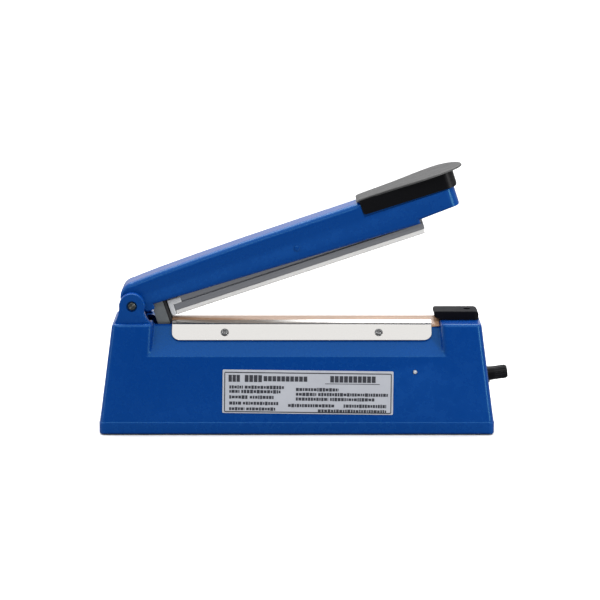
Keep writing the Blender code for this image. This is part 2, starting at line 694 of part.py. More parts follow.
def arm_hollow():
    """Side view of the space inside the arm, open below."""
    inner_seat = CAP_SEAT_V - ARM_WALL
    right = ARM_END - ARM_WALL
    top = [(right, -30.0), (right, inner_seat), (CAP_LEFT - 2.0, inner_seat)]
    top += [(u, v - ARM_WALL) for u, v in ARM_TOP[1:]]
    tail = arc(TAIL_CENTRE, TAIL_RADIUS - ARM_WALL, 84, 176, 7)
    return top + tail + [(-5.9, -30.0)]


def paddle_outline():
    """Plan view of the handle's palm plate: a neck that widens into a round end."""
    neck = [(197.0, 13.6), (198.6, 15.2), (213.0, 16.2), (226.0, 17.7), (237.0, 20.2), (247.0, 22.9),
            (254.0, 24.4)]
    end = arc((PADDLE_CENTRE, 0.0), PADDLE_RADIUS, 90, 0, 7)
    upper = neck + end
    return upper + [(u, -w) for u, w in reversed(upper[:-1])]


def make_arm(arm_axis, finishes):
    shell = add_object("arm_shell", prism(arm_outline(), -ARM_HALF_Y, ARM_HALF_Y, "Y"),
                       finishes["blue"], arm_axis)
    inner = ARM_HALF_Y - ARM_WALL
    boolean(shell, add_object("arm_hollow", prism(arm_hollow(), -inner, inner, "Y"), parent=arm_axis))
    rivet_boss = block((15.0, -4.0, 11.9), (23.0, 4.0, 16.5))
    boolean(shell, add_object("rivet_boss", rivet_boss, parent=arm_axis), "UNION")
    for side in (-1, 1):
        low, high = sorted((side * CAP_SEAT_HALF_Y, side * 20.0))
        seat = block((CAP_LEFT - 0.3, low, CAP_SKIRT_LOW - 1.8), (ARM_END + 5.0, high, 30.0))
        boolean(shell, add_object("skirt_seat", seat, parent=arm_axis))
    drill([shell], "hinge_bore", (0, 0, 0), (0, 1, 0), PIN_BORE, -20.0, 20.0, arm_axis, 16)

    cap = make_handle(arm_axis, finishes)
    for name, u in (("front", 262.0), ("rear", 214.0)):
        drill([shell, cap], "handle_screw_hole", (u, 0, 0), (0, 0, 1), 1.6, 10.0, 22.6, arm_axis, 10)
        pan_screw(f"handle_screw_{name}", (u, 0.0, CAP_SEAT_V - ARM_WALL - 0.2), (0, 0, -1), 2.8,
                  1.6, 1.3, 5.6, finishes["steel"], arm_axis)
    make_lever(arm_axis, finishes, shell)

    pivot = (PIVOT_U, 0.0, PIVOT_V)
    drill([shell], "pivot_bore", pivot, (0, 1, 0), PIVOT_RADIUS + FIT_GAP, -20.0, 20.0, arm_axis)
    seat = ARM_HALF_Y + 0.2
    rivet = [(1.2, -seat - 0.8), (2.5, -seat - 0.5), (2.5, -seat), (PIVOT_RADIUS, -seat),
             (PIVOT_RADIUS, seat), (2.5, seat), (2.5, seat + 0.5), (1.2, seat + 0.8)]
    made = add_object("pivot_rivet", turned(rivet, 14), finishes["blue"], arm_axis, smooth=True)
    aim(made, pivot, (0, -1, 0))


def make_handle(arm_axis, finishes):
    """The black cap: a skirt over the arm's end under a wide palm plate."""
    radius = 5.0
    low_left = CAP_SKIRT_LOW
    low_right = CAP_SKIRT_LOW - 1.0
    side = arc((CAP_LEFT + radius, low_left + radius), radius, 180, 270, 4)
    side += arc((CAP_SKIRT_RIGHT - radius, low_right + radius), radius, 270, 360, 4)
    side += [(CAP_SKIRT_RIGHT, 24.0), (CAP_LEFT, 22.4)]
    cap = add_object("handle_cap", prism(side, -CAP_HALF_Y, CAP_HALF_Y, "Y"), finishes["black"], arm_axis)

    def palm(level_at):
        return [(u, w, level_at(u)) for u, w in paddle_outline()]

    def low_face(u):
        return 21.4 + (u - 197.0) * 0.018

    def high_face(u):
        return low_face(u) + 1.9

    narrower = [(PADDLE_CENTRE + (u - PADDLE_CENTRE) * 0.97, w * 0.95, high_face(u) + 0.7)
                for u, w in paddle_outline()]
    plate = add_object("palm_plate", loft([palm(low_face), palm(high_face), narrower]), parent=arm_axis)
    boolean(cap, plate, "UNION")
    gap = FIT_GAP
    hollow = block((CAP_LEFT - 10.0, -CAP_SEAT_HALF_Y - gap, -5.0),
                   (ARM_END + gap, CAP_SEAT_HALF_Y + gap, CAP_SEAT_V + gap))
    boolean(cap, add_object("cap_hollow", hollow, parent=arm_axis))
    return cap


def make_lever(arm_axis, finishes, shell):
    """Closed steel strap under the arm, which loads the spring and trips the switch."""
    half, sheet = LEVER_HALF_Y, LEVER_SHEET
    top = 11.5
    lever = add_object("lever_plate",
                       block((LEVER_U[0], -half, LEVER_BOTTOM), (LEVER_U[1], half, top)),
                       finishes["zinc"], arm_axis)
    space = block((LEVER_U[0] - 5.0, sheet - half, LEVER_BOTTOM + sheet),
                  (LEVER_U[1] + 5.0, half - sheet, top - sheet))
    boolean(lever, add_object("lever_space", space, parent=arm_axis))
    middle = (sum(LEVER_U) / 2.0, 0.0, 0.0)
    drill([lever, shell], "rivet_hole", middle, (0, 0, 1), 1.5, 8.0, 15.2, arm_axis, 10)
    pan_screw("lever_rivet", (middle[0], 0.0, top - sheet - 0.2), (0, 0, -1), 2.4, 1.2, 1.2, 4.6,
              finishes["steel"], arm_axis)


# ---------------------------------------------------------------- press bar

def make_press_bar(bar_axis, finishes):
    """Modelled from the pivot's own point, so its u and v are counted from there."""
    left, right = BAR_START - PIVOT_U, BAR_END - PIVOT_U
    half = [(-5.7, -9.0), (-5.7, 5.0), (-7.2, 5.0), (-7.2, -11.2), (-6.4, -11.2), (-6.4, -12.0),
            (-8.0, -12.0), (-8.0, -18.5)]
    section = [(y, v - PIVOT_V) for y, v in half + [(-y, v) for y, v in reversed(half)]]
    bar = add_object("press_bar", prism(section, left, right, "X"), finishes["aluminium"], bar_axis)
    drill([bar], "bar_pivot_hole", (0, 0, 0), (0, 1, 0), PIVOT_RADIUS + FIT_GAP, -12.0, 12.0, bar_axis, 14)

    strip_half = [(-5.0, -18.8), (-5.0, -20.2), (-4.2, -20.9)]
    section = [(y, v - PIVOT_V) for y, v in strip_half + [(-y, v) for y, v in reversed(strip_half)]]
    add_object("silicone_strip", prism(section, left, STRIP_END - PIVOT_U, "X"),
               finishes["silicone"], bar_axis)

    low, top = -20.3 - PIVOT_V, -7.0 - PIVOT_V
    start = 26.4 - PIVOT_U
    clip = add_object("bar_end_clip", block((start, -8.9, low), (left - FIT_GAP, 8.9, top)),
                      finishes["white"], bar_axis)
    for side in (-1, 1):
        inner, outer = sorted((side * 7.5, side * 8.9))
        cheek = block((left - 1.5, inner, -11.9 - PIVOT_V), (37.5 - PIVOT_U, outer, top))
        boolean(clip, add_object("clip_cheek", cheek, parent=bar_axis), "UNION")


# ---------------------------------------------------------------- assembly

def main():
    clear_scene()
    finishes = {
        "blue": finish_of("blue plastic", (0.003, 0.052, 0.275), 0.32),
        "black": finish_of("black plastic", (0.012, 0.012, 0.014), 0.42),
        "polished": finish_of("polished sheet", (0.86, 0.85, 0.84), 0.16, 1.0),
        "aluminium": finish_of("anodised aluminium", (0.42, 0.42, 0.45), 0.38, 1.0),
        "steel": finish_of("bright steel", (0.62, 0.62, 0.6), 0.28, 1.0),
        "zinc": finish_of("zinc-plated sheet", (0.3, 0.33, 0.35), 0.45, 1.0),
        "brass": finish_of("brass", (0.72, 0.52, 0.24), 0.3, 1.0),
        "nichrome": finish_of("nichrome ribbon", (0.45, 0.42, 0.4), 0.35, 1.0),
        "ptfe": finish_of("ptfe cloth", (0.42, 0.25, 0.14), 0.35),
        "tape": finish_of("glass tape", (0.8, 0.78, 0.7), 0.8),
        "silicone": finish_of("silicone rubber", (0.5, 0.48, 0.45), 0.6),
        "white": finish_of("white nylon", (0.72, 0.73, 0.73), 0.45),
        "nylon": finish_of("natural nylon", (0.8, 0.79, 0.74), 0.4),
        "rubber": finish_of("black rubber", (0.015, 0.015, 0.015), 0.8),
        "core": finish_of("steel laminations", (0.1, 0.1, 0.11), 0.5, 1.0),
        "coil": finish_of("coil wrap", (0.6, 0.42, 0.1), 0.5),
        "board": finish_of("circuit board", (0.03, 0.16, 0.06), 0.5),
        "lens": finish_of("lamp lens", (0.85, 0.86, 0.86), 0.1),
        "label": finish_of("silver label", (0.55, 0.57, 0.62), 0.35),
    }
    sealer = add_empty("sealer", (BASE_CENTRE_X, 0.0, 0.0))
    arm_axis = add_empty("arm_axis", (HINGE_X, 0.0, HINGE_Z), sealer, (0.0, -ARM_TILT, 0.0))
    bar_axis = add_empty("bar_axis", (PIVOT_U, 0.0, PIVOT_V), arm_axis)
    knob_axis = add_empty("knob_axis", (wall_half(KNOB_Z)[0], 0.0, KNOB_Z), sealer,
                          (0.0, math.radians(90) - END_WALL_LEAN, 0.0))

    housing = make_housing(sealer, finishes["blue"])
    cloth, plates = make_jaw(sealer, finishes)
    for name, position, direction in plate_screw_axes():
        drill([housing, cloth, *plates], "plate_screw_hole", position, direction, 1.75, -8.0, 5.0,
              sealer)
        seat = 2 * FIT_GAP + CLOTH_THICKNESS + PLATE_THICKNESS + 0.1
        lifted = Vector(position) + Vector(direction).normalized() * seat
        pan_screw(f"plate_screw_{name}", lifted, direction, 3.3, 1.9, 1.4, 8.0,
                  finishes["steel"], sealer)
    make_terminal_cover(sealer, finishes, housing)
    make_hinge(sealer, finishes)
    bottom = make_bottom(sealer, finishes)
    make_transformer(sealer, finishes, bottom)
    make_spring(sealer, finishes, bottom)
    make_timer(knob_axis, finishes, housing)
    make_wall_fittings(sealer, finishes, housing)
    make_arm(arm_axis, finishes)
    make_press_bar(bar_axis, finishes)


main()
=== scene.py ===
# Hand impulse heat sealer: the visible pieces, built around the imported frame.
import json
import math
import random

import bmesh
import bpy
from mathutils import Matrix, Vector


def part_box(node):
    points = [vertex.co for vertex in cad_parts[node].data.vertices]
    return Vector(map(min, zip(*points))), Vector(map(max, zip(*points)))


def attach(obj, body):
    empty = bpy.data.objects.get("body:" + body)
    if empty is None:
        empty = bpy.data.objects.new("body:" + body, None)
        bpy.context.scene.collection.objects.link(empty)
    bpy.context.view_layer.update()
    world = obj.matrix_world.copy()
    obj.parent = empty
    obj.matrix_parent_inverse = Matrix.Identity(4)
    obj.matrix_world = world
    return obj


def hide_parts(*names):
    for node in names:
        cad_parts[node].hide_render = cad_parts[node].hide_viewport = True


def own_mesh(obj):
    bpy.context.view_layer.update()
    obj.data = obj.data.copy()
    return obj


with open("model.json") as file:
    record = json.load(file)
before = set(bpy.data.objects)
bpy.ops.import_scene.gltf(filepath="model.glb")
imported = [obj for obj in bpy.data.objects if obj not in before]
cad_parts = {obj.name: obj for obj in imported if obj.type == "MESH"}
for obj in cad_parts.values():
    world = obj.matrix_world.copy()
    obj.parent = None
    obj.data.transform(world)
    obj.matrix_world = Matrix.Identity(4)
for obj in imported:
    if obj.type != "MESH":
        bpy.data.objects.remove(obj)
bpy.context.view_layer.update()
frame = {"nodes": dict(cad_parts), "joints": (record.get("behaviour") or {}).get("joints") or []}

mm = 0.001
joints = {joint["name"]: joint for joint in frame["joints"]}
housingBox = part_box("base_housing")
baseX = (housingBox[0].x + housingBox[1].x) / 2.0  # the housing is symmetric about this
hingeAt = Vector(joints["arm_hinge"]["pos_m"])
pivotAt = Vector(joints["press_bar_rock"]["pos_m"])
knobAt = Vector(joints["timer_turn"]["pos_m"])
knobOut = Vector(joints["timer_turn"]["axis"])

pivot = {"u": 140.1, "v": 1.5, "radius": 1.85}  # the bar's pivot in the arm's own frame
armTilt = math.atan2(pivotAt.z - hingeAt.z, pivotAt.x - hingeAt.x) - math.atan2(pivot["v"], pivot["u"])
wallLean = math.atan2(knobOut.z, knobOut.x)

# Each frame takes millimetres: u or x along, y to the back, v or z up
baseFrame = Matrix.Translation((baseX, 0.0, 0.0)) @ Matrix.Scale(mm, 4)
armFrame = Matrix.Translation(hingeAt) @ Matrix.Rotation(-armTilt, 4, "Y") @ Matrix.Scale(mm, 4)
knobFrame = (Matrix.Translation(knobAt) @ Matrix.Rotation(math.pi / 2 - wallLean, 4, "Y")
             @ Matrix.Scale(mm, 4))
hingeX = (hingeAt.x - baseX) / mm
hingeZ = hingeAt.z / mm
hingeSpot = (hingeX, 0.0, hingeZ)
print("frame loaded, arm tilt", round(math.degrees(armTilt), 2))


# Meshes are made in millimetres and placed by one of the frames above
def loft(rings, closed=False):
    shape = bmesh.new()
    rows = [[shape.verts.new(point) for point in ring] for ring in rings]
    pairs = list(zip(rows, rows[1:]))
    if closed:
        pairs.append((rows[-1], rows[0]))
    count = len(rows[0])
    for low, high in pairs:
        for i in range(count):
            j = (i + 1) % count
            shape.faces.new((low[i], low[j], high[j], high[i]))
    if not closed:
        shape.faces.new(rows[0])
        shape.faces.new(rows[-1])
    return shape


def block(low, high):
    corners = [(low[0], low[1]), (high[0], low[1]), (high[0], high[1]), (low[0], high[1])]
    return loft([[(x, y, z) for x, y in corners] for z in (low[2], high[2])])


def arc(centre, radius, start, end, steps):
    points = []
    for i in range(steps + 1):
        angle = math.radians(start + (end - start) * i / steps)
        points.append((centre[0] + radius * math.cos(angle), centre[1] + radius * math.sin(angle)))
    return points


def bow(start, middle, end, steps):
    points = []
    for i in range(steps + 1):
        t = i / steps
        points.append(tuple((1 - t) ** 2 * a + 2 * t * (1 - t) * b + t * t * c
                            for a, b, c in zip(start, middle, end)))
    return points


def roundedBox(halfX, halfY, radius, steps=6):
    points = []
    for turn, (sx, sy) in enumerate(((1, 1), (-1, 1), (-1, -1), (1, -1))):
        centre = (sx * (halfX - radius), sy * (halfY - radius))
        points += arc(centre, radius, 90 * turn, 90 * turn + 90, steps)
    return points


def signedArea(outline):
    return sum(a[0] * b[1] - b[0] * a[1] for a, b in zip(outline, outline[1:] + outline[:1])) / 2.0


def inset(outline, distances):
    sign = 1.0 if signedArea(outline) > 0 else -1.0
    count = len(outline)
    moved = []
    for i, (x, y) in enumerate(outline):
        before = Vector(outline[i]) - Vector(outline[i - 1])
        after = Vector(outline[(i + 1) % count]) - Vector(outline[i])
        before.normalize()
        after.normalize()
        nBefore = Vector((-before.y, before.x)) * sign
        nAfter = Vector((-after.y, after.x)) * sign
        share = distances[i] / max(1.0 + nBefore.dot(nAfter), 0.35)
        moved.append((x + (nBefore.x + nAfter.x) * share, y + (nBefore.y + nAfter.y) * share))
    return moved


def softPrism(outline, halfWidth, radii, steps=5, middle=0.0):
    rings = []
    angles = [90.0 * (1.0 - i / steps) for i in range(steps + 1)]
    for side in (1, -1):
        for angle in (angles if side == 1 else angles[::-1]):
            turn = math.radians(angle)
            ring = inset(outline, [r * (1.0 - math.cos(turn)) for r in radii])
            ys = [middle + side * (halfWidth - r * (1.0 - math.sin(turn))) for r in radii]
            rings.append([(p[0], y, p[1]) for p, y in zip(ring, ys)])
    return loft(rings)


def turned(profile, sides=48, closed=False):
    rings = []
    for radius, z in profile:
        angles = [math.tau * i / sides for i in range(sides)]
        rings.append([(radius * math.cos(a), radius * math.sin(a), z) for a in angles])
    return loft(rings, closed)


def softProfile(points, radius, steps=4):
    rounded = [points[0]]
    for before, corner, after in zip(points, points[1:], points[2:]):
        a, b, c = Vector(before), Vector(corner), Vector(after)
        reach = min(radius, (a - b).length * 0.45, (c - b).length * 0.45)
        start = b + (a - b).normalized() * reach
        end = b + (c - b).normalized() * reach
        rounded += bow(tuple(start), corner, tuple(end), steps)
    return rounded + [points[-1]]


def makeObject(name, shape, place=None):
    if place is not None:
        shape.transform(place)
    bmesh.ops.recalc_face_normals(shape, faces=shape.faces)
    mesh = bpy.data.meshes.new(name)
    shape.to_mesh(mesh)
    shape.free()
    made = bpy.data.objects.new(name, mesh)
    bpy.context.scene.collection.objects.link(made)
    return made


def applyModifiers(thing):
    bpy.context.view_layer.update()
    graph = bpy.context.evaluated_depsgraph_get()
    mesh = bpy.data.meshes.new_from_object(thing.evaluated_get(graph))
    thing.modifiers.clear()
    thing.data = mesh
    mesh.name = thing.name
    return thing


def combine(thing, tools, operation="DIFFERENCE"):
    for tool in tools:
        step = thing.modifiers.new("combine", "BOOLEAN")
        step.operation = operation
        step.solver = "EXACT"
        step.object = tool
    applyModifiers(thing)
    for tool in tools:
        bpy.data.objects.remove(tool, do_unlink=True)
    return thing


def joined(thing, others):
    # several closed shapes kept as one mesh
    shape = bmesh.new()
    for piece in [thing] + others:
        shape.from_mesh(piece.data)
    shape.to_mesh(thing.data)
    shape.free()
    for piece in others:
        bpy.data.objects.remove(piece, do_unlink=True)
    return thing


def bevelled(thing, width, segments=3, angle=35.0):
    step = thing.modifiers.new("edges", "BEVEL")
    step.width = width * mm
    step.segments = segments
    step.limit_method = "ANGLE"
    step.angle_limit = math.radians(angle)
    step.use_clamp_overlap = True
    return applyModifiers(thing)


def finished(thing, material, body, nodes=(), sharp=32.0):
    thing.data.materials.clear()
    thing.data.materials.append(material)
    thing.data.shade_smooth()
    thing.data.set_sharp_from_angle(angle=math.radians(sharp))
    step = thing.modifiers.new("normals", "WEIGHTED_NORMAL")
    step.keep_sharp = True
    step.weight = 80
    applyModifiers(thing)
    return settled(thing, body, nodes)


def settled(thing, body, nodes=()):
    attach(thing, body)
    if nodes:
        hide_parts(*nodes)
    return thing


def nodeIn(tree, kind, **settings):
    made = tree.nodes.new(kind)
    for name, value in settings.items():
        setattr(made, name, value)
    return made


def groupShell(name, ins, outs):
    tree = bpy.data.node_groups.new(name, "ShaderNodeTree")
    for label, kind, value in ins:
        socket = tree.interface.new_socket(label, in_out="INPUT", socket_type="NodeSocket" + kind)
        socket.default_value = value
    for label, kind in outs:
        tree.interface.new_socket(label, in_out="OUTPUT", socket_type="NodeSocket" + kind)
    return tree, nodeIn(tree, "NodeGroupInput"), nodeIn(tree, "NodeGroupOutput")


def noiseFrom(tree, vector, scale, detail, roughness=0.55):
    made = nodeIn(tree, "ShaderNodeTexNoise")
    made.inputs["Detail"].default_value = detail
    made.inputs["Roughness"].default_value = roughness
    tree.links.new(vector, made.inputs["Vector"])
    if isinstance(scale, (int, float)):
        made.inputs["Scale"].default_value = scale
    else:
        tree.links.new(scale, made.inputs["Scale"])
    return made.outputs["Fac"]


def mathOf(tree, operation, a, b, clamp=False):
    made = nodeIn(tree, "ShaderNodeMath", operation=operation, use_clamp=clamp)
    for socket, value in zip(made.inputs, (a, b)):
        if isinstance(value, (int, float)):
            socket.default_value = value
        else:
            tree.links.new(value, socket)
    return made.outputs[0]


def mixOf(tree, factor, a, b):
    made = nodeIn(tree, "ShaderNodeMix", data_type="RGBA")
    for socket, value in ((made.inputs[0], factor), (made.inputs[6], a), (made.inputs[7], b)):
        if isinstance(value, (int, float, tuple)):
            socket.default_value = value
        else:
            tree.links.new(value, socket)
    return made.outputs[2]


def rangeOf(tree, value, low, high, toLow, toHigh):
    made = nodeIn(tree, "ShaderNodeMapRange")
    tree.links.new(value, made.inputs["Value"])
    for label, number in (("From Min", low), ("From Max", high), ("To Min", toLow), ("To Max", toHigh)):
        if isinstance(number, (int, float)):
            made.inputs[label].default_value = number
        else:
            tree.links.new(number, made.inputs[label])
    return made.outputs["Result"]


def buildGrain():
    # fine moulded or drawn grain, slow colour drift, handling marks and lighter sharp edges (wear on most
    # finishes, a painted highlight on the blue and palm plastics)
    ins = [("Vector", "Vector", (0.0, 0.0, 0.0)), ("Colour", "Color", (0.5, 0.5, 0.5, 1.0)),
           ("Edge Scuff And Sheen Colour", "Color", (0.6, 0.6, 0.6, 1.0)), ("Drift", "Float", 0.1),
           ("Grain Scale", "Float", 900.0), ("Roughness", "Float", 0.4), ("Spread", "Float", 0.1),
           ("Wear", "Float", 0.2)]
    tree, source, sink = groupShell("surfaceGrain", ins,
                                    [("Colour", "Color"), ("Roughness", "Float"), ("Height", "Float")])
    vector = source.outputs["Vector"]
    slow = noiseFrom(tree, vector, 14.0, 3.0)
    marks = noiseFrom(tree, vector, 95.0, 6.0, 0.7)
    grain = noiseFrom(tree, vector, source.outputs["Grain Scale"], 3.0)
    # lighter colour along sharp edges, found by pointiness: wear on most finishes, a painted highlight on the
    # blue and palm plastics
    pointed = nodeIn(tree, "ShaderNodeNewGeometry").outputs["Pointiness"]
    edge = rangeOf(tree, pointed, 0.515, 0.60, 0.0, 1.0)
    edge = mathOf(tree, "MULTIPLY", edge, rangeOf(tree, marks, 0.35, 0.65, 0.3, 1.0))
    edge = mathOf(tree, "MULTIPLY", edge, source.outputs["Wear"], True)
    dark = nodeIn(tree, "ShaderNodeHueSaturation")
    dark.inputs["Value"].default_value = 0.72
    tree.links.new(source.outputs["Colour"], dark.inputs["Color"])
    drift = rangeOf(tree, slow, 0.35, 0.65, 0.0, 1.0)
    drift = mathOf(tree, "MULTIPLY", drift, source.outputs["Drift"], True)
    colour = mixOf(tree, drift, source.outputs["Colour"], dark.outputs["Color"])
    colour = mixOf(tree, edge, colour, source.outputs["Edge Scuff And Sheen Colour"])
    low = mathOf(tree, "SUBTRACT", source.outputs["Roughness"], source.outputs["Spread"])
    high = mathOf(tree, "ADD", source.outputs["Roughness"], source.outputs["Spread"])
    rough = rangeOf(tree, marks, 0.3, 0.7, low, high)
    tree.links.new(colour, sink.inputs["Colour"])
    tree.links.new(rough, sink.inputs["Roughness"])
    tree.links.new(grain, sink.inputs["Height"])
    return tree


def buildWeave():
    # crossed threads under a thin coat, for coated glass cloth and tape, with random blotches and painted shade
    # in the weave's hollows
    ins = [("Vector", "Vector", (0.0, 0.0, 0.0)), ("Colour", "Color", (0.5, 0.4, 0.3, 1.0)),
           ("Dark", "Color", (0.3, 0.2, 0.1, 1.0)), ("Threads", "Float", 1900.0)]
    tree, source, sink = groupShell("threadWeave", ins, [("Colour", "Color"), ("Height", "Float")])
    scaled = nodeIn(tree, "ShaderNodeVectorMath", operation="SCALE")
    tree.links.new(source.outputs["Vector"], scaled.inputs[0])
    tree.links.new(source.outputs["Threads"], scaled.inputs["Scale"])
    split = nodeIn(tree, "ShaderNodeSeparateXYZ")
    tree.links.new(scaled.outputs[0], split.inputs[0])
    across = mathOf(tree, "ABSOLUTE", mathOf(tree, "SINE", split.outputs[0], 0.0), 0.0)
    along = mathOf(tree, "ABSOLUTE", mathOf(tree, "SINE", split.outputs[1], 0.0), 0.0)
    height = mathOf(tree, "MAXIMUM", across, along)
    blotch = noiseFrom(tree, source.outputs["Vector"], 60.0, 4.0)
    blotchAndHollowShade = mathOf(tree, "MULTIPLY", rangeOf(tree, blotch, 0.3, 0.7, 0.0, 1.0), 0.6)
    # painted shade: the colour darkens where the threads dip, in the weave's hollows
    hollowShade = mathOf(tree, "MULTIPLY", mathOf(tree, "SUBTRACT", 1.0, height), 0.4)
    blotchAndHollowShade = mathOf(tree, "ADD", blotchAndHollowShade, hollowShade, True)
    thread = mixOf(tree, blotchAndHollowShade, source.outputs["Colour"], source.outputs["Dark"])
    tree.links.new(thread, sink.inputs["Colour"])
    tree.links.new(height, sink.inputs["Height"])
    return tree


grainGroup = buildGrain()
weaveGroup = buildWeave()

# worn: colour along edges (wear, and on the blue and palm plastics a painted highlight); spread: how far
# roughness wanders;
# grain: its scale; drift: slow darkening; wear: how strong that edge colour is; stretch and turn: a drawn
# metal's grain and its tilt
finishes = {
    # bluePlastic: its light blue edge colour is a painted highlight along the fillets and edges
    "bluePlastic": dict(colour=(0.0002, 0.037, 0.225), worn=(0.02, 0.14, 0.52), roughness=0.27, spread=0.04,
                        grain=1500.0, bump=0.02, drift=0.10, wear=0.30, specular=0.36,
                        tint=(0.32, 0.95, 1.0)),
    "blackPlastic": dict(colour=(0.002, 0.002, 0.003), worn=(0.05, 0.05, 0.052), roughness=0.36,
                         spread=0.06, grain=1100.0, bump=0.06, drift=0.25, wear=0.4, specular=0.13),
    "coverPlastic": dict(colour=(0.005, 0.005, 0.007), worn=(0.05, 0.05, 0.05), roughness=0.42, spread=0.06,
                         grain=1100.0, bump=0.06, drift=0.25, wear=0.2, specular=0.02),
    "pinSteel": dict(colour=(0.075, 0.085, 0.085), worn=(0.5, 0.5, 0.5), roughness=0.30, spread=0.07,
                     metallic=1.0, grain=1500.0, bump=0.05, drift=0.3, wear=0.6),
    # palmPlastic: its light grey edge colour at full strength is a painted highlight along the palm plate's rim
    "palmPlastic": dict(colour=(0.018, 0.018, 0.019), worn=(0.30, 0.30, 0.30), roughness=0.50, spread=0.06,
                        grain=1300.0, bump=0.30, drift=0.25, wear=1.0),
    "whitePlastic": dict(colour=(0.62, 0.63, 0.64), worn=(0.8, 0.8, 0.8), roughness=0.46, spread=0.05,
                         grain=1200.0, bump=0.05, drift=0.15, wear=0.2),
    "nylon": dict(colour=(0.72, 0.70, 0.62), worn=(0.8, 0.8, 0.75), roughness=0.42, spread=0.05,
                  grain=1200.0, bump=0.05, drift=0.12, wear=0.2),
    "polishedPlate": dict(colour=(0.54, 0.53, 0.515), worn=(0.95, 0.95, 0.95), roughness=0.17, spread=0.04,
                          metallic=1.0, grain=700.0, bump=0.025, drift=0.07, wear=0.4,
                          stretch=(0.03, 1.0, 1.0)),
    "aluminium": dict(colour=(0.27, 0.28, 0.31), worn=(0.7, 0.7, 0.72), roughness=0.40, spread=0.08,
                      metallic=1.0, grain=900.0, bump=0.07, drift=0.25, wear=0.35,
                      stretch=(0.02, 1.0, 1.0), turn=armTilt),
    "barAluminium": dict(colour=(0.55, 0.55, 0.56), worn=(0.75, 0.75, 0.76), roughness=0.38, spread=0.07,
                         metallic=1.0, grain=900.0, bump=0.06, drift=0.2, wear=0.3,
                         stretch=(0.02, 1.0, 1.0)),
    "steel": dict(colour=(0.17, 0.172, 0.175), worn=(0.85, 0.85, 0.84), roughness=0.17, spread=0.07,
                  metallic=1.0, grain=1500.0, bump=0.04, drift=0.2, wear=0.5),
    "zincSteel": dict(colour=(0.19, 0.21, 0.22), worn=(0.6, 0.62, 0.62), roughness=0.46, spread=0.1,
                      metallic=0.85, grain=260.0, bump=0.05, drift=0.5, wear=0.5),
    "laminations": dict(colour=(0.07, 0.07, 0.075), worn=(0.3, 0.3, 0.3), roughness=0.5, spread=0.12,
                        metallic=0.8, grain=700.0, bump=0.1, drift=0.5, wear=0.6),
    "brass": dict(colour=(0.66, 0.45, 0.17), worn=(0.85, 0.68, 0.4), roughness=0.3, spread=0.08,
                  metallic=1.0, grain=900.0, bump=0.04, drift=0.3, wear=0.4),
    "nichrome": dict(colour=(0.36, 0.33, 0.31), worn=(0.6, 0.58, 0.56), roughness=0.38, spread=0.08,
                     metallic=1.0, grain=1400.0, bump=0.05, drift=0.5, wear=0.2, stretch=(0.05, 1.0, 1.0)),
    "silicone": dict(colour=(0.80, 0.795, 0.78), worn=(0.62, 0.6, 0.58), roughness=0.62, spread=0.06,
                     grain=420.0, bump=0.12, drift=0.3, wear=0.1),
    "rubber": dict(colour=(0.014, 0.014, 0.015), worn=(0.05, 0.05, 0.05), roughness=0.72, spread=0.08,
                   grain=800.0, bump=0.15, drift=0.3, wear=0.4),
    "coilWrap": dict(colour=(0.52, 0.33, 0.06), worn=(0.75, 0.58, 0.2), roughness=0.34, spread=0.08,
                     grain=260.0, bump=0.10, drift=0.35, wear=0.2),
    "copperWire": dict(colour=(0.50, 0.17, 0.05), worn=(0.8, 0.4, 0.2), roughness=0.3, spread=0.06,
                       metallic=0.9, grain=900.0, bump=0.03, drift=0.4, wear=0.3),
    "circuitBoard": dict(colour=(0.012, 0.12, 0.045), worn=(0.1, 0.3, 0.15), roughness=0.4, spread=0.08,
                         grain=650.0, bump=0.08, drift=0.3, wear=0.3),
    "labelFilm": dict(colour=(0.56, 0.58, 0.64), worn=(0.65, 0.67, 0.7), roughness=0.38, spread=0.05,
                      metallic=0.35, grain=1600.0, bump=0.02, drift=0.12, wear=0.5),
    "labelInk": dict(colour=(0.022, 0.024, 0.034), worn=(0.1, 0.1, 0.12), roughness=0.5, spread=0.06,
                     grain=1200.0, bump=0.02, drift=0.2, wear=0.1),
    "scaleInk": dict(colour=(0.72, 0.73, 0.74), worn=(0.5, 0.5, 0.5), roughness=0.5, spread=0.05,
                     grain=1200.0, bump=0.02, drift=0.2, wear=0.1),
}


def surfaceMaterial(name, colour, worn, roughness, spread, grain, bump, drift, wear, metallic=0.0,
                    specular=0.5, tint=(1.0, 1.0, 1.0), stretch=(1.0, 1.0, 1.0), turn=0.0):
    made = bpy.data.materials.new(name)
    made.use_nodes = True
    tree = made.node_tree
    shader = tree.nodes["Principled BSDF"]
    place = nodeIn(tree, "ShaderNodeTexCoord")
    mapping = nodeIn(tree, "ShaderNodeMapping", vector_type="TEXTURE")
    mapping.inputs["Rotation"].default_value = (0.0, -turn, 0.0)
    mapping.inputs["Scale"].default_value = tuple(1.0 / s for s in stretch)
    tree.links.new(place.outputs["Object"], mapping.inputs["Vector"])
    group = nodeIn(tree, "ShaderNodeGroup", node_tree=grainGroup)
    tree.links.new(mapping.outputs["Vector"], group.inputs["Vector"])
    values = {"Colour": (*colour, 1.0), "Edge Scuff And Sheen Colour": (*worn, 1.0), "Drift": drift, "Grain Scale": grain,
              "Roughness": roughness, "Spread": spread, "Wear": wear}
    for label, value in values.items():
        group.inputs[label].default_value = value
    height = nodeIn(tree, "ShaderNodeBump")
    height.inputs["Strength"].default_value = bump
    height.inputs["Distance"].default_value = 0.0003
    tree.links.new(group.outputs["Height"], height.inputs["Height"])
    tree.links.new(group.outputs["Colour"], shader.inputs["Base Color"])
    tree.links.new(group.outputs["Roughness"], shader.inputs["Roughness"])
    tree.links.new(height.outputs["Normal"], shader.inputs["Normal"])
    shader.inputs["Metallic"].default_value = metallic
    shader.inputs["Specular IOR Level"].default_value = specular
    shader.inputs["Specular Tint"].default_value = (*tint, 1.0)
    return made


materials = {name: surfaceMaterial(name, **values) for name, values in finishes.items()}


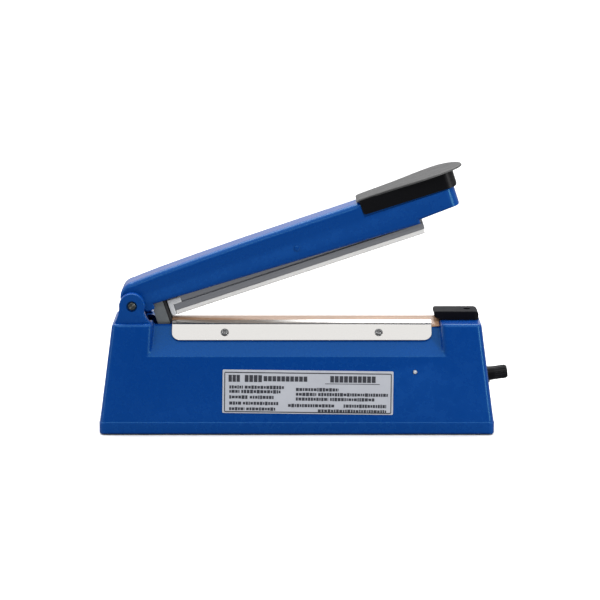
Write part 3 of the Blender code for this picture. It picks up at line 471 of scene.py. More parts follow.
def clothMaterial(name, colour, dark, threads, roughness, coat, bump):
    made = bpy.data.materials.new(name)
    made.use_nodes = True
    tree = made.node_tree
    shader = tree.nodes["Principled BSDF"]
    place = nodeIn(tree, "ShaderNodeTexCoord")
    group = nodeIn(tree, "ShaderNodeGroup", node_tree=weaveGroup)
    tree.links.new(place.outputs["Object"], group.inputs["Vector"])
    group.inputs["Colour"].default_value = (*colour, 1.0)
    group.inputs["Dark"].default_value = (*dark, 1.0)
    group.inputs["Threads"].default_value = threads
    streaks = nodeIn(tree, "ShaderNodeMapping", vector_type="POINT")
    streaks.inputs["Scale"].default_value = (6.0, 160.0, 160.0)
    tree.links.new(place.outputs["Object"], streaks.inputs["Vector"])
    gloss = noiseFrom(tree, streaks.outputs["Vector"], 1.0, 4.0)
    streaked = rangeOf(tree, gloss, 0.35, 0.65, roughness - 0.09, roughness + 0.12)
    tree.links.new(streaked, shader.inputs["Roughness"])
    height = nodeIn(tree, "ShaderNodeBump")
    height.inputs["Strength"].default_value = bump
    height.inputs["Distance"].default_value = 0.0001
    tree.links.new(group.outputs["Height"], height.inputs["Height"])
    tree.links.new(group.outputs["Colour"], shader.inputs["Base Color"])
    tree.links.new(height.outputs["Normal"], shader.inputs["Normal"])
    shader.inputs["Coat Weight"].default_value = coat
    shader.inputs["Coat Roughness"].default_value = 0.2
    return made


clothFinishes = {
    "ptfeCloth": dict(colour=(0.36, 0.215, 0.130), dark=(0.22, 0.12, 0.065), threads=3900.0,
                      roughness=0.34, coat=0.3, bump=0.25),
    "glassTape": dict(colour=(0.72, 0.69, 0.60), dark=(0.5, 0.47, 0.4), threads=3100.0,
                      roughness=0.7, coat=0.0, bump=0.4),
}
materials.update({name: clothMaterial(name, **values) for name, values in clothFinishes.items()})


def lensMaterial():
    made = bpy.data.materials.new("lampLens")
    made.use_nodes = True
    tree = made.node_tree
    shader = tree.nodes["Principled BSDF"]
    place = nodeIn(tree, "ShaderNodeTexCoord")
    ripple = noiseFrom(tree, place.outputs["Object"], 500.0, 2.0)
    height = nodeIn(tree, "ShaderNodeBump")
    height.inputs["Strength"].default_value = 0.1
    height.inputs["Distance"].default_value = 0.0002
    tree.links.new(ripple, height.inputs["Height"])
    tree.links.new(height.outputs["Normal"], shader.inputs["Normal"])
    tree.links.new(mixOf(tree, ripple, (0.80, 0.83, 0.88, 1.0), (0.62, 0.68, 0.78, 1.0)),
                   shader.inputs["Base Color"])
    shader.inputs["Roughness"].default_value = 0.08
    shader.inputs["Transmission Weight"].default_value = 0.35
    return made


materials["lampLens"] = lensMaterial()
print("materials", len(materials))


class Growth:
    # one node tree with named inputs, filled in by socket identifier
    def __init__(self, name, inputs):
        self.tree = bpy.data.node_groups.new(name, "GeometryNodeTree")
        self.tree.is_modifier = True
        face = self.tree.interface
        face.new_socket("Geometry", in_out="INPUT", socket_type="NodeSocketGeometry")
        self.identifiers = {}
        for label, kind, value in inputs:
            socket = face.new_socket(label, in_out="INPUT", socket_type="NodeSocket" + kind)
            if value is not None:
                socket.default_value = value
            self.identifiers[label] = socket.identifier
        face.new_socket("Geometry", in_out="OUTPUT", socket_type="NodeSocketGeometry")
        self.source = self.add("NodeGroupInput")
        self.sink = self.add("NodeGroupOutput")

    def add(self, kind, ins=None, **settings):
        made = self.tree.nodes.new(kind)
        for name, value in settings.items():
            setattr(made, name, value)
        for label, value in (ins or {}).items():
            socket = made.inputs[label]
            if isinstance(value, bpy.types.NodeSocket):
                self.tree.links.new(value, socket)
            else:
                socket.default_value = value
        return made

    def given(self, label):
        return self.source.outputs[label]

    def sums(self, operation, a, b):
        made = self.add("ShaderNodeMath", operation=operation)
        for socket, value in zip(made.inputs, (a, b)):
            if isinstance(value, bpy.types.NodeSocket):
                self.tree.links.new(value, socket)
            else:
                socket.default_value = value
        return made.outputs[0]

    def point(self, **parts):
        return self.add("ShaderNodeCombineXYZ", parts).outputs[0]

    def ends(self, geometry, material):
        real = self.add("GeometryNodeRealizeInstances", {"Geometry": geometry})
        coated = self.add("GeometryNodeSetMaterial", {"Geometry": real.outputs[0], "Material": material})
        self.tree.links.new(coated.outputs[0], self.sink.inputs[0])

    def grow(self, name, start, values, place=None, merge=0.0):
        # start is a mesh object that the tree grows from, and is used up
        step = start.modifiers.new("growth", "NODES")
        step.node_group = self.tree
        for label, value in values.items():
            step[self.identifiers[label]] = value
        bpy.context.view_layer.update()
        graph = bpy.context.evaluated_depsgraph_get()
        mesh = bpy.data.meshes.new_from_object(start.evaluated_get(graph))
        bpy.data.objects.remove(start, do_unlink=True)
        shape = bmesh.new()
        shape.from_mesh(mesh)
        if merge:
            bmesh.ops.remove_doubles(shape, verts=shape.verts, dist=merge)
        bmesh.ops.recalc_face_normals(shape, faces=shape.faces)
        if place is not None:
            shape.transform(place)
        shape.to_mesh(mesh)
        shape.free()
        mesh.name = name
        made = bpy.data.objects.new(name, mesh)
        bpy.context.scene.collection.objects.link(made)
        return made


def pointsObject(name, points, axes=None, sizes=None):
    mesh = bpy.data.meshes.new(name)
    mesh.from_pydata([tuple(point) for point in points], [], [])
    if axes:
        held = mesh.attributes.new("axis", "FLOAT_VECTOR", "POINT")
        held.data.foreach_set("vector", [number for axis in axes for number in axis])
    if sizes:
        held = mesh.attributes.new("size", "FLOAT_VECTOR", "POINT")
        held.data.foreach_set("vector", [number for size in sizes for number in size])
    made = bpy.data.objects.new(name, mesh)
    bpy.context.scene.collection.objects.link(made)
    return made


def outlineObject(name, points):
    # a closed ring of edges, turned round as drawing it along +X turns it back
    mesh = bpy.data.meshes.new(name)
    count = len(points)
    edges = [(i, (i + 1) % count) for i in range(count)]
    mesh.from_pydata([(-x, -y, 0.0) for x, y in points], edges, [])
    made = bpy.data.objects.new(name, mesh)
    bpy.context.scene.collection.objects.link(made)
    return made


def buildScrewGrowth():
    # a domed pan head with a cross recess and a shank, at every point, along the point's axis
    growth = Growth("panScrews", [("Head Radius", "Float", 3.0), ("Head Height", "Float", 1.8),
                                  ("Shank Radius", "Float", 1.4), ("Shank Length", "Float", 8.0),
                                  ("Recess", "Float", 0.8), ("Material", "Material", None)])
    radius, height = growth.given("Head Radius"), growth.given("Head Height")
    ball = growth.add("GeometryNodeMeshUVSphere", {"Segments": 32, "Rings": 20, "Radius": 1.0})
    squash = growth.point(X=radius, Y=radius, Z=growth.sums("MULTIPLY", height, 1.25))
    dome = growth.add("GeometryNodeTransform", {"Geometry": ball.outputs[0], "Scale": squash})
    keepAt = growth.point(Z=growth.sums("MULTIPLY", height, 0.5))
    wide = growth.sums("MULTIPLY", radius, 3.0)
    keep = growth.add("GeometryNodeMeshCube", {"Size": growth.point(X=wide, Y=wide, Z=height)})
    keep = growth.add("GeometryNodeTransform", {"Geometry": keep.outputs[0], "Translation": keepAt})
    head = growth.add("GeometryNodeMeshBoolean", operation="INTERSECT", solver="EXACT")
    growth.tree.links.new(dome.outputs[0], head.inputs["Mesh 2"])
    growth.tree.links.new(keep.outputs[0], head.inputs["Mesh 2"])
    blade = growth.sums("MULTIPLY", radius, 0.27)
    reach = growth.sums("MULTIPLY", radius, 1.15)
    cutters = []
    level = growth.sums("MULTIPLY", height, growth.sums("ADD", growth.given("Recess"), 0.25))
    for x, y in ((blade, reach), (reach, blade)):
        bar = growth.add("GeometryNodeMeshCube", {"Size": growth.point(X=x, Y=y, Z=height)})
        cutters.append(growth.add("GeometryNodeTransform", {"Geometry": bar.outputs[0],
                                                            "Translation": growth.point(Z=level)}))
    crossed = growth.add("GeometryNodeMeshBoolean", operation="DIFFERENCE", solver="EXACT")
    growth.tree.links.new(head.outputs[0], crossed.inputs["Mesh 1"])
    for bar in cutters:
        growth.tree.links.new(bar.outputs[0], crossed.inputs["Mesh 2"])
    shank = growth.add("GeometryNodeMeshCylinder", {"Vertices": 20, "Radius": growth.given("Shank Radius"),
                                                    "Depth": growth.given("Shank Length")})
    low = growth.point(Z=growth.sums("MULTIPLY", growth.given("Shank Length"), -0.49))
    shank = growth.add("GeometryNodeTransform", {"Geometry": shank.outputs[0], "Translation": low})
    whole = growth.add("GeometryNodeMeshBoolean", operation="UNION", solver="EXACT")
    growth.tree.links.new(crossed.outputs[0], whole.inputs["Mesh 2"])
    growth.tree.links.new(shank.outputs[0], whole.inputs["Mesh 2"])
    axis = growth.add("GeometryNodeInputNamedAttribute", {"Name": "axis"}, data_type="FLOAT_VECTOR")
    turn = growth.add("FunctionNodeAlignRotationToVector", {"Vector": axis.outputs[0]}, axis="Z")
    spread = growth.add("FunctionNodeRandomValue", {"Seed": 7}, data_type="FLOAT")
    spin = growth.point(Z=growth.sums("MULTIPLY", spread.outputs[1], math.pi))
    spun = growth.add("FunctionNodeRotateRotation", rotation_space="LOCAL")
    growth.tree.links.new(turn.outputs[0], spun.inputs[0])
    growth.tree.links.new(spin, spun.inputs[1])
    placed = growth.add("GeometryNodeInstanceOnPoints", {"Points": growth.given("Geometry"),
                                                         "Instance": whole.outputs[0],
                                                         "Rotation": spun.outputs[0]})
    growth.ends(placed.outputs[0], growth.given("Material"))
    return growth


def buildDrawnGrowth():
    # an outline drawn to length along X, as an extrusion is
    growth = Growth("drawnSection", [("Start", "Float", 0.0), ("End", "Float", 100.0),
                                     ("Material", "Material", None)])
    line = growth.add("GeometryNodeCurvePrimitiveLine", {"Start": growth.point(X=growth.given("Start")),
                                                         "End": growth.point(X=growth.given("End"))})
    section = growth.add("GeometryNodeMeshToCurve", {"Mesh": growth.given("Geometry")})
    drawn = growth.add("GeometryNodeCurveToMesh", {"Curve": line.outputs[0], "Fill Caps": True,
                                                   "Profile Curve": section.outputs[0]})
    growth.ends(drawn.outputs[0], growth.given("Material"))
    return growth


def buildCoilGrowth():
    # a round wire wound in a helix up Z from the point it starts at
    growth = Growth("woundWire", [("Radius", "Float", 2.6), ("Wire", "Float", 0.45), ("Height", "Float", 34.0),
                                  ("Turns", "Float", 9.0), ("Material", "Material", None)])
    spiral = growth.add("GeometryNodeCurveSpiral", {"Resolution": 26, "Rotations": growth.given("Turns"),
                                                    "Start Radius": growth.given("Radius"),
                                                    "End Radius": growth.given("Radius"),
                                                    "Height": growth.given("Height")})
    ring = growth.add("GeometryNodeCurvePrimitiveCircle", {"Resolution": 10, "Radius": growth.given("Wire")})
    wire = growth.add("GeometryNodeCurveToMesh", {"Curve": spiral.outputs[0], "Profile Curve": ring.outputs[0],
                                                  "Fill Caps": True})
    placed = growth.add("GeometryNodeInstanceOnPoints", {"Points": growth.given("Geometry"),
                                                         "Instance": wire.outputs[0]})
    growth.ends(placed.outputs[0], growth.given("Material"))
    return growth


def buildRibGrowth():
    # small bars in a ring about Z, each standing out from the axis
    growth = Growth("ribRing", [("Count", "Int", 24), ("Radius", "Float", 5.0),
                                ("Size", "Vector", (1.0, 1.0, 1.0)), ("Level", "Float", 0.0),
                                ("First", "Float", 0.0), ("Sweep", "Float", math.tau),
                                ("Material", "Material", None)])
    dots = growth.add("GeometryNodeMeshLine", {"Count": growth.given("Count")}, mode="OFFSET")
    index = growth.add("GeometryNodeInputIndex")
    share = growth.sums("DIVIDE", index.outputs[0], growth.given("Count"))
    angle = growth.sums("ADD", growth.given("First"), growth.sums("MULTIPLY", share, growth.given("Sweep")))
    at = growth.point(X=growth.sums("MULTIPLY", growth.given("Radius"), growth.sums("COSINE", angle, 0.0)),
                      Y=growth.sums("MULTIPLY", growth.given("Radius"), growth.sums("SINE", angle, 0.0)),
                      Z=growth.given("Level"))
    moved = growth.add("GeometryNodeSetPosition", {"Geometry": dots.outputs[0], "Position": at})
    bar = growth.add("GeometryNodeMeshCube", {"Size": growth.given("Size")})
    turn = growth.add("FunctionNodeEulerToRotation", {"Euler": growth.point(Z=angle)})
    placed = growth.add("GeometryNodeInstanceOnPoints", {"Points": moved.outputs[0], "Instance": bar.outputs[0],
                                                         "Rotation": turn.outputs[0]})
    growth.ends(placed.outputs[0], growth.given("Material"))
    return growth


def buildBlockGrowth():
    # a block at every point, of the point's own size
    growth = Growth("printedBlocks", [("Material", "Material", None)])
    size = growth.add("GeometryNodeInputNamedAttribute", {"Name": "size"}, data_type="FLOAT_VECTOR")
    cube = growth.add("GeometryNodeMeshCube", {"Size": (1.0, 1.0, 1.0)})
    placed = growth.add("GeometryNodeInstanceOnPoints", {"Points": growth.given("Geometry"),
                                                         "Instance": cube.outputs[0], "Scale": size.outputs[0]})
    growth.ends(placed.outputs[0], growth.given("Material"))
    return growth


def buildStackGrowth():
    # the given sheet, repeated along Y
    growth = Growth("sheetStack", [("Count", "Int", 20), ("Pitch", "Float", 1.0),
                                   ("Material", "Material", None)])
    step = growth.point(Y=growth.given("Pitch"))
    dots = growth.add("GeometryNodeMeshLine", {"Count": growth.given("Count"), "Offset": step}, mode="OFFSET")
    placed = growth.add("GeometryNodeInstanceOnPoints", {"Points": dots.outputs[0],
                                                         "Instance": growth.given("Geometry")})
    growth.ends(placed.outputs[0], growth.given("Material"))
    return growth


screwGrowth = buildScrewGrowth()
drawnGrowth = buildDrawnGrowth()
coilGrowth = buildCoilGrowth()
ribGrowth = buildRibGrowth()
blockGrowth = buildBlockGrowth()
stackGrowth = buildStackGrowth()


# head radius, head height, shank radius, shank length
screwSizes = {
    "plateScrews": (3.3, 1.9, 1.4, 9.0), "leverRivet": (2.4, 1.2, 1.2, 4.6),
    "handleScrews": (2.8, 1.6, 1.3, 5.6),
    "coverScrew": (2.5, 1.4, 1.25, 10.5), "terminalScrew": (2.3, 1.2, 1.2, 8.0),
    "baseScrews": (2.8, 1.6, 1.15, 14.0),
}
screwRecess = 0.72  # as a share of the head's height


def screws(name, spots, axes, nodes, body="base", place=baseFrame):
    head, height, shank, length = screwSizes[name]
    start = pointsObject(name, spots, axes=axes)
    made = screwGrowth.grow(name, start, {"Head Radius": head, "Head Height": height, "Shank Radius": shank,
                                          "Shank Length": length, "Recess": screwRecess,
                                          "Material": materials["steel"]}, place)
    return finished(made, materials["steel"], body, nodes)


def drawn(name, section, start, end, material, place=baseFrame):
    ring = outlineObject(name, section)
    values = {"Start": start, "End": end, "Material": material}
    return drawnGrowth.grow(name, ring, values, place, merge=1e-4)


# The base: outer skin drawn crisp, its edges rounded by weight, then hollowed and bored
base = {
    "footX": 158.8, "footY": 39.5, "rimLow": 0.8, "rimHigh": 11.0, "ledgeLow": 10.2,
    "lowX": 158.4, "lowY": 39.1, "topX": 148.3, "topY": 29.5, "towerTop": 89.0,
    "saddleX": 115.4, "saddleFlare": 0.06, "slopeTop": (-13.0, 85.2), "slopeFoot": (-32.45, 63.4),
    "ridgeEdge": (-8.6, 87.4), "ridgeCoreLow": 79.3, "wall": 2.5,
    "leverSlot": ((-121.5, -11.6, 60.0), (-101.2, 11.6, 97.0)),
    "barGroove": ((-100.5, -5.5, 82.0), (113.3, 5.5, 94.0)),
    "corner": 5.0, "towerEdge": 2.4, "innerEdge": 4.6, "crease": 0.7, "notch": 1.4, "shoulder": 1.0,
    "rimEdge": 0.3, "footEdge": 1.8, "earHalf": 4.0, "earMiddle": 21.0, "earRadius": 10.4, "earEdge": 1.1,
    "earLeft": [(-147.0, 88.7), (-143.9, 92.2)], "earRight": [(-121.3, 91.6), (-116.2, 88.5)],
    "earFoot": [(-117.4, 85.0), (-146.4, 85.0)], "pinBore": 2.8, "pinRecess": 4.4, "pinRecessFloor": 22.6,
    "bossX": 146.0, "bossY": 29.0, "bossRadius": 5.0, "bossLow": 6.0, "bossHigh": 46.0, "bossBore": 1.45,
    "coverScrewX": 138.0, "coverBore": 1.6, "terminalScrewX": 126.3, "terminalBore": 1.5, "shaftBore": 3.6,
}
lamp = {"x": 94.9, "z": 51.0, "bore": 1.9,
        "profile": [(0.01, -5.5), (2.4, -5.5), (2.4, -2.8), (1.6, -2.8), (1.6, 0.3), (1.35, 1.0), (0.7, 1.4),
                    (0.01, 1.4)]}
gland = {"x": 112.0, "z": 26.0, "bore": 5.1,
         "profile": [(3.7, -6.0), (5.8, -6.0), (6.2, -2.8), (4.8, -2.8), (4.8, 0.2), (6.6, 0.2), (6.55, 0.8),
                     (6.2, 1.4), (5.9, 1.6), (4.1, 1.6), (3.8, 1.4), (3.7, 1.0)]}


def wallHalf(z):
    share = (z - base["rimHigh"]) / (base["towerTop"] - base["rimHigh"])
    return (base["lowX"] + (base["topX"] - base["lowX"]) * share,
            base["lowY"] + (base["topY"] - base["lowY"]) * share)


def onSlope(down, out=0.0):
    start, end = Vector(base["slopeTop"]), Vector(base["slopeFoot"])
    along = (end - start).normalized()
    spot = start + along * down + Vector((along.y, -along.x)) * out
    return spot.x, spot.y


def saddleAt(z):
    return base["saddleX"] + (base["towerTop"] - z) * base["saddleFlare"]


sideLean = math.atan2(base["lowY"] - base["topY"], base["towerTop"] - base["rimHigh"])
frontOut = Vector((0.0, -math.cos(sideLean), math.sin(sideLean)))
rearOut = Vector((0.0, math.cos(sideLean), math.sin(sideLean)))
lampSpot = (lamp["x"], -wallHalf(lamp["z"])[1], lamp["z"])
glandSpot = (gland["x"], wallHalf(gland["z"])[1], gland["z"])
bossSpots = [(sx * base["bossX"], sy * base["bossY"], 0) for sx in (-1, 1) for sy in (-1, 1)]


def rod(position, direction, radius, low, high, sides=32, place=baseFrame):
    turn = Vector(direction).to_track_quat("Z", "Y").to_matrix().to_4x4()
    spin = place @ Matrix.Translation(position) @ turn
    return makeObject("tool", turned([(radius, low), (radius, high)], sides), spin)


def boxTool(low, high, place=baseFrame):
    return makeObject("tool", block(low, high), place)


def planTool(left, right, halfY, radius, low, high, place):
    # a block with two upright edges rounded, to cut a piece's end to its plan
    plan = [(left, -halfY)] + arc((right - radius, radius - halfY), radius, 270, 360, 10)
    plan += arc((right - radius, halfY - radius), radius, 0, 90, 10) + [(left, halfY)]
    return makeObject("plan", loft([[(x, y, z) for x, y in plan] for z in (low, high)]), place)


def baseSkin():
    shape = bmesh.new()
    topZ = base["towerTop"]
    footZ, shoulderZ, ridgeZ = base["slopeFoot"][1], base["slopeTop"][1], base["ridgeEdge"][1]
    levels = {
        "a": (base["footX"], base["footY"], base["rimLow"]),
        "b": (base["footX"], base["footY"], base["ledgeLow"]),
        "c": (base["lowX"], base["lowY"], base["rimHigh"]),
        "d": (base["topX"], base["topY"], topZ),
        "e": (saddleAt(topZ), base["topY"], topZ),
        "f": (saddleAt(footZ), -base["slopeFoot"][0], footZ),
        "g": (saddleAt(shoulderZ), -base["slopeTop"][0], shoulderZ),
        "h": (saddleAt(ridgeZ), -base["ridgeEdge"][0], ridgeZ),
    }
    at = {(key, sx, sy): shape.verts.new((sx * x, sy * y, z))
          for key, (x, y, z) in levels.items() for sx in (-1, 1) for sy in (-1, 1)}

    def face(*names):
        shape.faces.new([at[name] for name in names])

    def ringOf(key):
        return [(key, -1, -1), (key, 1, -1), (key, 1, 1), (key, -1, 1)]

    face(*ringOf("a"))
    for low, high in (("a", "b"), ("b", "c")):
        lower, upper = ringOf(low), ringOf(high)
        for i in range(4):
            j = (i + 1) % 4
            face(lower[i], lower[j], upper[j], upper[i])
    for sy in (-1, 1):
        face(("c", -1, sy), ("c", 1, sy), ("d", 1, sy), ("e", 1, sy), ("f", 1, sy), ("f", -1, sy),
             ("e", -1, sy), ("d", -1, sy))
        face(("f", -1, sy), ("f", 1, sy), ("g", 1, sy), ("g", -1, sy))
        face(("g", -1, sy), ("g", 1, sy), ("h", 1, sy), ("h", -1, sy))
    for sx in (-1, 1):
        face(("c", sx, -1), ("c", sx, 1), ("d", sx, 1), ("d", sx, -1))
        face(("d", sx, -1), ("d", sx, 1), ("e", sx, 1), ("e", sx, -1))
        face(*[(key, sx, -1) for key in "efgh"], *[(key, sx, 1) for key in "hgfe"])
    face(*ringOf("h"))

    weights = {"ab": "corner", "bc": "corner", "cd": "corner", "bb": "rimEdge", "aa": "footEdge",
               "cc": "rimEdge", "dd": "towerEdge", "de": "towerEdge", "ee": "towerEdge",
               "ef": "innerEdge", "ff": "crease", "fg": "notch",
               "gg": "shoulder", "gh": "notch", "hh": "shoulder"}
    keyOf = {vert: name[0] for name, vert in at.items()}
    weight = shape.edges.layers.float.new("bevel_weight_edge")
    for edge in shape.edges:
        pair = "".join(sorted(keyOf[vert] for vert in edge.verts))
        if pair in weights:
            edge[weight] = base[weights[pair]] / base["corner"]
    made = makeObject("baseShell", shape, baseFrame)
    step = made.modifiers.new("edges", "BEVEL")
    step.limit_method = "WEIGHT"
    step.width = base["corner"] * mm
    step.segments = 6
    step.use_clamp_overlap = False
    return applyModifiers(made)


def innerHollow():
    wall = base["wall"]
    innerTop = base["towerTop"] - wall
    rings = []
    for z, (halfX, halfY) in ((base["rimLow"] - 2.0, wallHalf(base["rimHigh"])),
                              (base["rimHigh"], wallHalf(base["rimHigh"])),
                              (innerTop, wallHalf(innerTop))):
        rings.append([(x, y, z) for x, y in roundedBox(halfX - wall, halfY - wall, 3.5)])
    hollow = makeObject("hollow", loft(rings), baseFrame)
    low, high = onSlope(52.0, -wall), onSlope(0.0, -wall)
    rise = (high[1] - low[1]) / (high[0] - low[0])
    shoulder = high[0] - (high[1] - base["ridgeCoreLow"]) / rise
    half = [low, (shoulder, base["ridgeCoreLow"])]
    section = half + [(-y, z) for y, z in half[::-1]] + [(-low[0], 101.0), (low[0], 101.0)]
    keep = loft([[(side * (saddleAt(z) + wall), y, z) for y, z in section] for side in (-1, 1)])
    return combine(hollow, [makeObject("keep", keep, baseFrame)])


def earTool(side):
    head = arc((hingeX, hingeZ), base["earRadius"], 190, -22, 36)
    left = bow(*base["earLeft"], head[0], 8)[:-1]
    right = bow(head[-1], *base["earRight"], 8)[1:]
    footRight, footLeft = base["earFoot"]
    outline = [footLeft] + left + head + right + [footRight]
    radii = [0.01] + [base["earEdge"]] * (len(outline) - 2) + [0.01]
    shape = softPrism(outline, base["earHalf"], radii, 4, side * base["earMiddle"])
    return makeObject("ear", shape, baseFrame)


def buildBase():
    shell = baseSkin()
    combine(shell, [earTool(-1), earTool(1)], "UNION")
    combine(shell, [innerHollow()])
    bosses = [rod(spot, (0, 0, 1), base["bossRadius"], base["bossLow"], base["bossHigh"])
              for spot in bossSpots]
    combine(shell, bosses, "UNION")
    tools = [boxTool(*base["leverSlot"]), boxTool(*base["barGroove"]),
             rod(hingeSpot, (0, 1, 0), base["pinBore"], -40, 40),
             rod(hingeSpot, (0, -1, 0), base["pinRecess"], base["pinRecessFloor"], 29, 40),
             rod(hingeSpot, (0, 1, 0), base["pinRecess"], base["pinRecessFloor"], 29, 40),
             rod((base["coverScrewX"], 0, 0), (0, 0, 1), base["coverBore"], 80, 94),
             rod((base["terminalScrewX"], 0, 0), (0, 0, 1), base["terminalBore"], 80, 95),
             rod(lampSpot, frontOut, lamp["bore"], -4.5, 3),
             rod(glandSpot, rearOut, gland["bore"], -4.5, 4, 40),
             rod((0, 0, 0), (0, 0, 1), base["shaftBore"], -5.5, 5, 40, knobFrame)]
    tools += [rod(spot, (0, 0, 1), base["bossBore"], 0, 20, 20) for spot in bossSpots]
    combine(shell, tools)
    return finished(shell, materials["bluePlastic"], "base", ["base_housing"], 38.0)


baseShell = buildBase()
print("base", len(baseShell.data.polygons), "faces")


# The arm: a hollow bar, open below, that swells round the hinge
arm = {
    "half": 15.3, "wall": 2.5, "lobe": 9.2, "tailCentre": (4.2, 4.7), "tailRadius": 12.4,
    "heel": [(9.0, -9.8), (14.6, -9.7), (15.9, -8.5), (16.1, -5.4)], "under": [(240.4, -11.5), (240.7, -8.2)],
    "endCentre": (273.2, -4.5), "endRadius": 1.8, "end": 275.0, "seatV": 19.0, "capLeft": 199.5,
    "top": [(199.0, 20.3), (150.0, 20.2), (100.0, 19.9), (60.0, 19.2), (28.0, 18.3), (12.0, 17.5)],
    "topEdge": 5.0, "lowEdge": 3.4, "heelEdges": [1.6, 1.6, 1.6, 2.0], "tipEdge": 1.4, "seatEdge": 1.2,
    "endEdge": 8.5, "innerEdge": 6.2, "lobeEdge": 1.6, "ceiling": 16.5,
    "rivetU": 18.35, "rivetBore": 1.5, "rivetBoss": ((15, -4, 11.9), (23, 4, 16.5)),
    "handleScrewU": (262.0, 214.0), "handleBore": 1.6,
}
pivotBore = pivot["radius"] + 0.3


def buildArm():
    lobe = arc((0, 0), arm["lobe"], 180, 312, 28)
    end = arc(arm["endCentre"], arm["endRadius"], -88, 0, 8) + [(arm["end"], arm["seatV"])]
    top = [(arm["capLeft"] - 0.5, arm["seatV"])] + arm["top"]
    tail = arc(arm["tailCentre"], arm["tailRadius"], 84, 172, 24)
    outline = lobe + arm["heel"] + arm["under"] + end + top + tail
    radii = ([arm["lobeEdge"]] * len(lobe) + arm["heelEdges"] + [arm["lowEdge"]] * len(arm["under"])
             + [arm["tipEdge"]] * len(end) + [arm["seatEdge"]] + [arm["topEdge"]] * len(arm["top"])
             + [arm["topEdge"] + (arm["lobeEdge"] - arm["topEdge"]) * i / (len(tail) - 1)
                for i in range(len(tail))])
    shell = makeObject("armShell", softPrism(outline, arm["half"], radii, 7), armFrame)
    combine(shell, [planTool(-40, arm["end"], arm["half"] + 0.01, arm["endEdge"], -40, 60, armFrame)],
            "INTERSECT")

    right, wall = arm["end"] - arm["wall"], arm["wall"]
    inner = [(right, -30.0), (right, arm["ceiling"]), (arm["capLeft"] - 2.0, arm["ceiling"])]
    inner += [(u, v - wall) for u, v in arm["top"][1:]]
    inner += arc(arm["tailCentre"], arm["tailRadius"] - wall, 84, 176, 20) + [(-5.9, -30.0)]
    half = arm["half"] - wall
    hollow = makeObject("hollow", loft([[(u, y, v) for u, v in inner] for y in (-half, half)]), armFrame)
    combine(hollow, [planTool(-40, right, half + 0.01, arm["innerEdge"], -60, 60, armFrame)], "INTERSECT")
    combine(shell, [hollow])
    combine(shell, [boxTool(*arm["rivetBoss"], armFrame)], "UNION")
    tools = [boxTool((arm["capLeft"] - 0.3, low, 8.2), (arm["end"] + 5, high, 30), armFrame)
             for low, high in ((-20, -14), (14, 20))]
    tools += [rod((0, 0, 0), (0, 1, 0), base["pinBore"], -20, 20, 40, armFrame),
              rod((pivot["u"], 0, pivot["v"]), (0, 1, 0), pivotBore, -20, 20, 32, armFrame),
              rod((arm["rivetU"], 0, 0), (0, 0, 1), arm["rivetBore"], 8, 15.2, 20, armFrame)]
    tools += [rod((u, 0, 0), (0, 0, 1), arm["handleBore"], 10, 22.6, 20, armFrame) for u in arm["handleScrewU"]]
    combine(shell, tools)
    return finished(shell, materials["bluePlastic"], "arm", ["arm_shell"], 34.0)


armShell = buildArm()
print("arm", len(armShell.data.polygons), "faces")


# The black handle: a skirt round the arm's end and a wide palm plate on it
handle = {
    "half": 16.2, "left": 199.5, "right": 278.0, "low": (10.0, 9.0), "corner": 2.6,
    "neck": [(197.0, 13.6), (198.6, 15.2), (213.0, 16.2), (226.0, 17.7), (237.0, 20.2), (247.0, 22.9),
             (254.0, 24.4)], "neckEnd": (258.0, 24.7),
    "centre": 261.5, "radius": 24.8, "under": 21.4, "climb": 0.018, "rim": 1.9, "crown": 0.7, "droop": 1.3,
    "endEdge": 9.3, "lowEdge": 0.7, "top": (22.4, 24.0), "innerEnd": 275.3, "innerHalf": 14.3, "innerEdge": 7.6,
    "innerTop": 19.3,
}


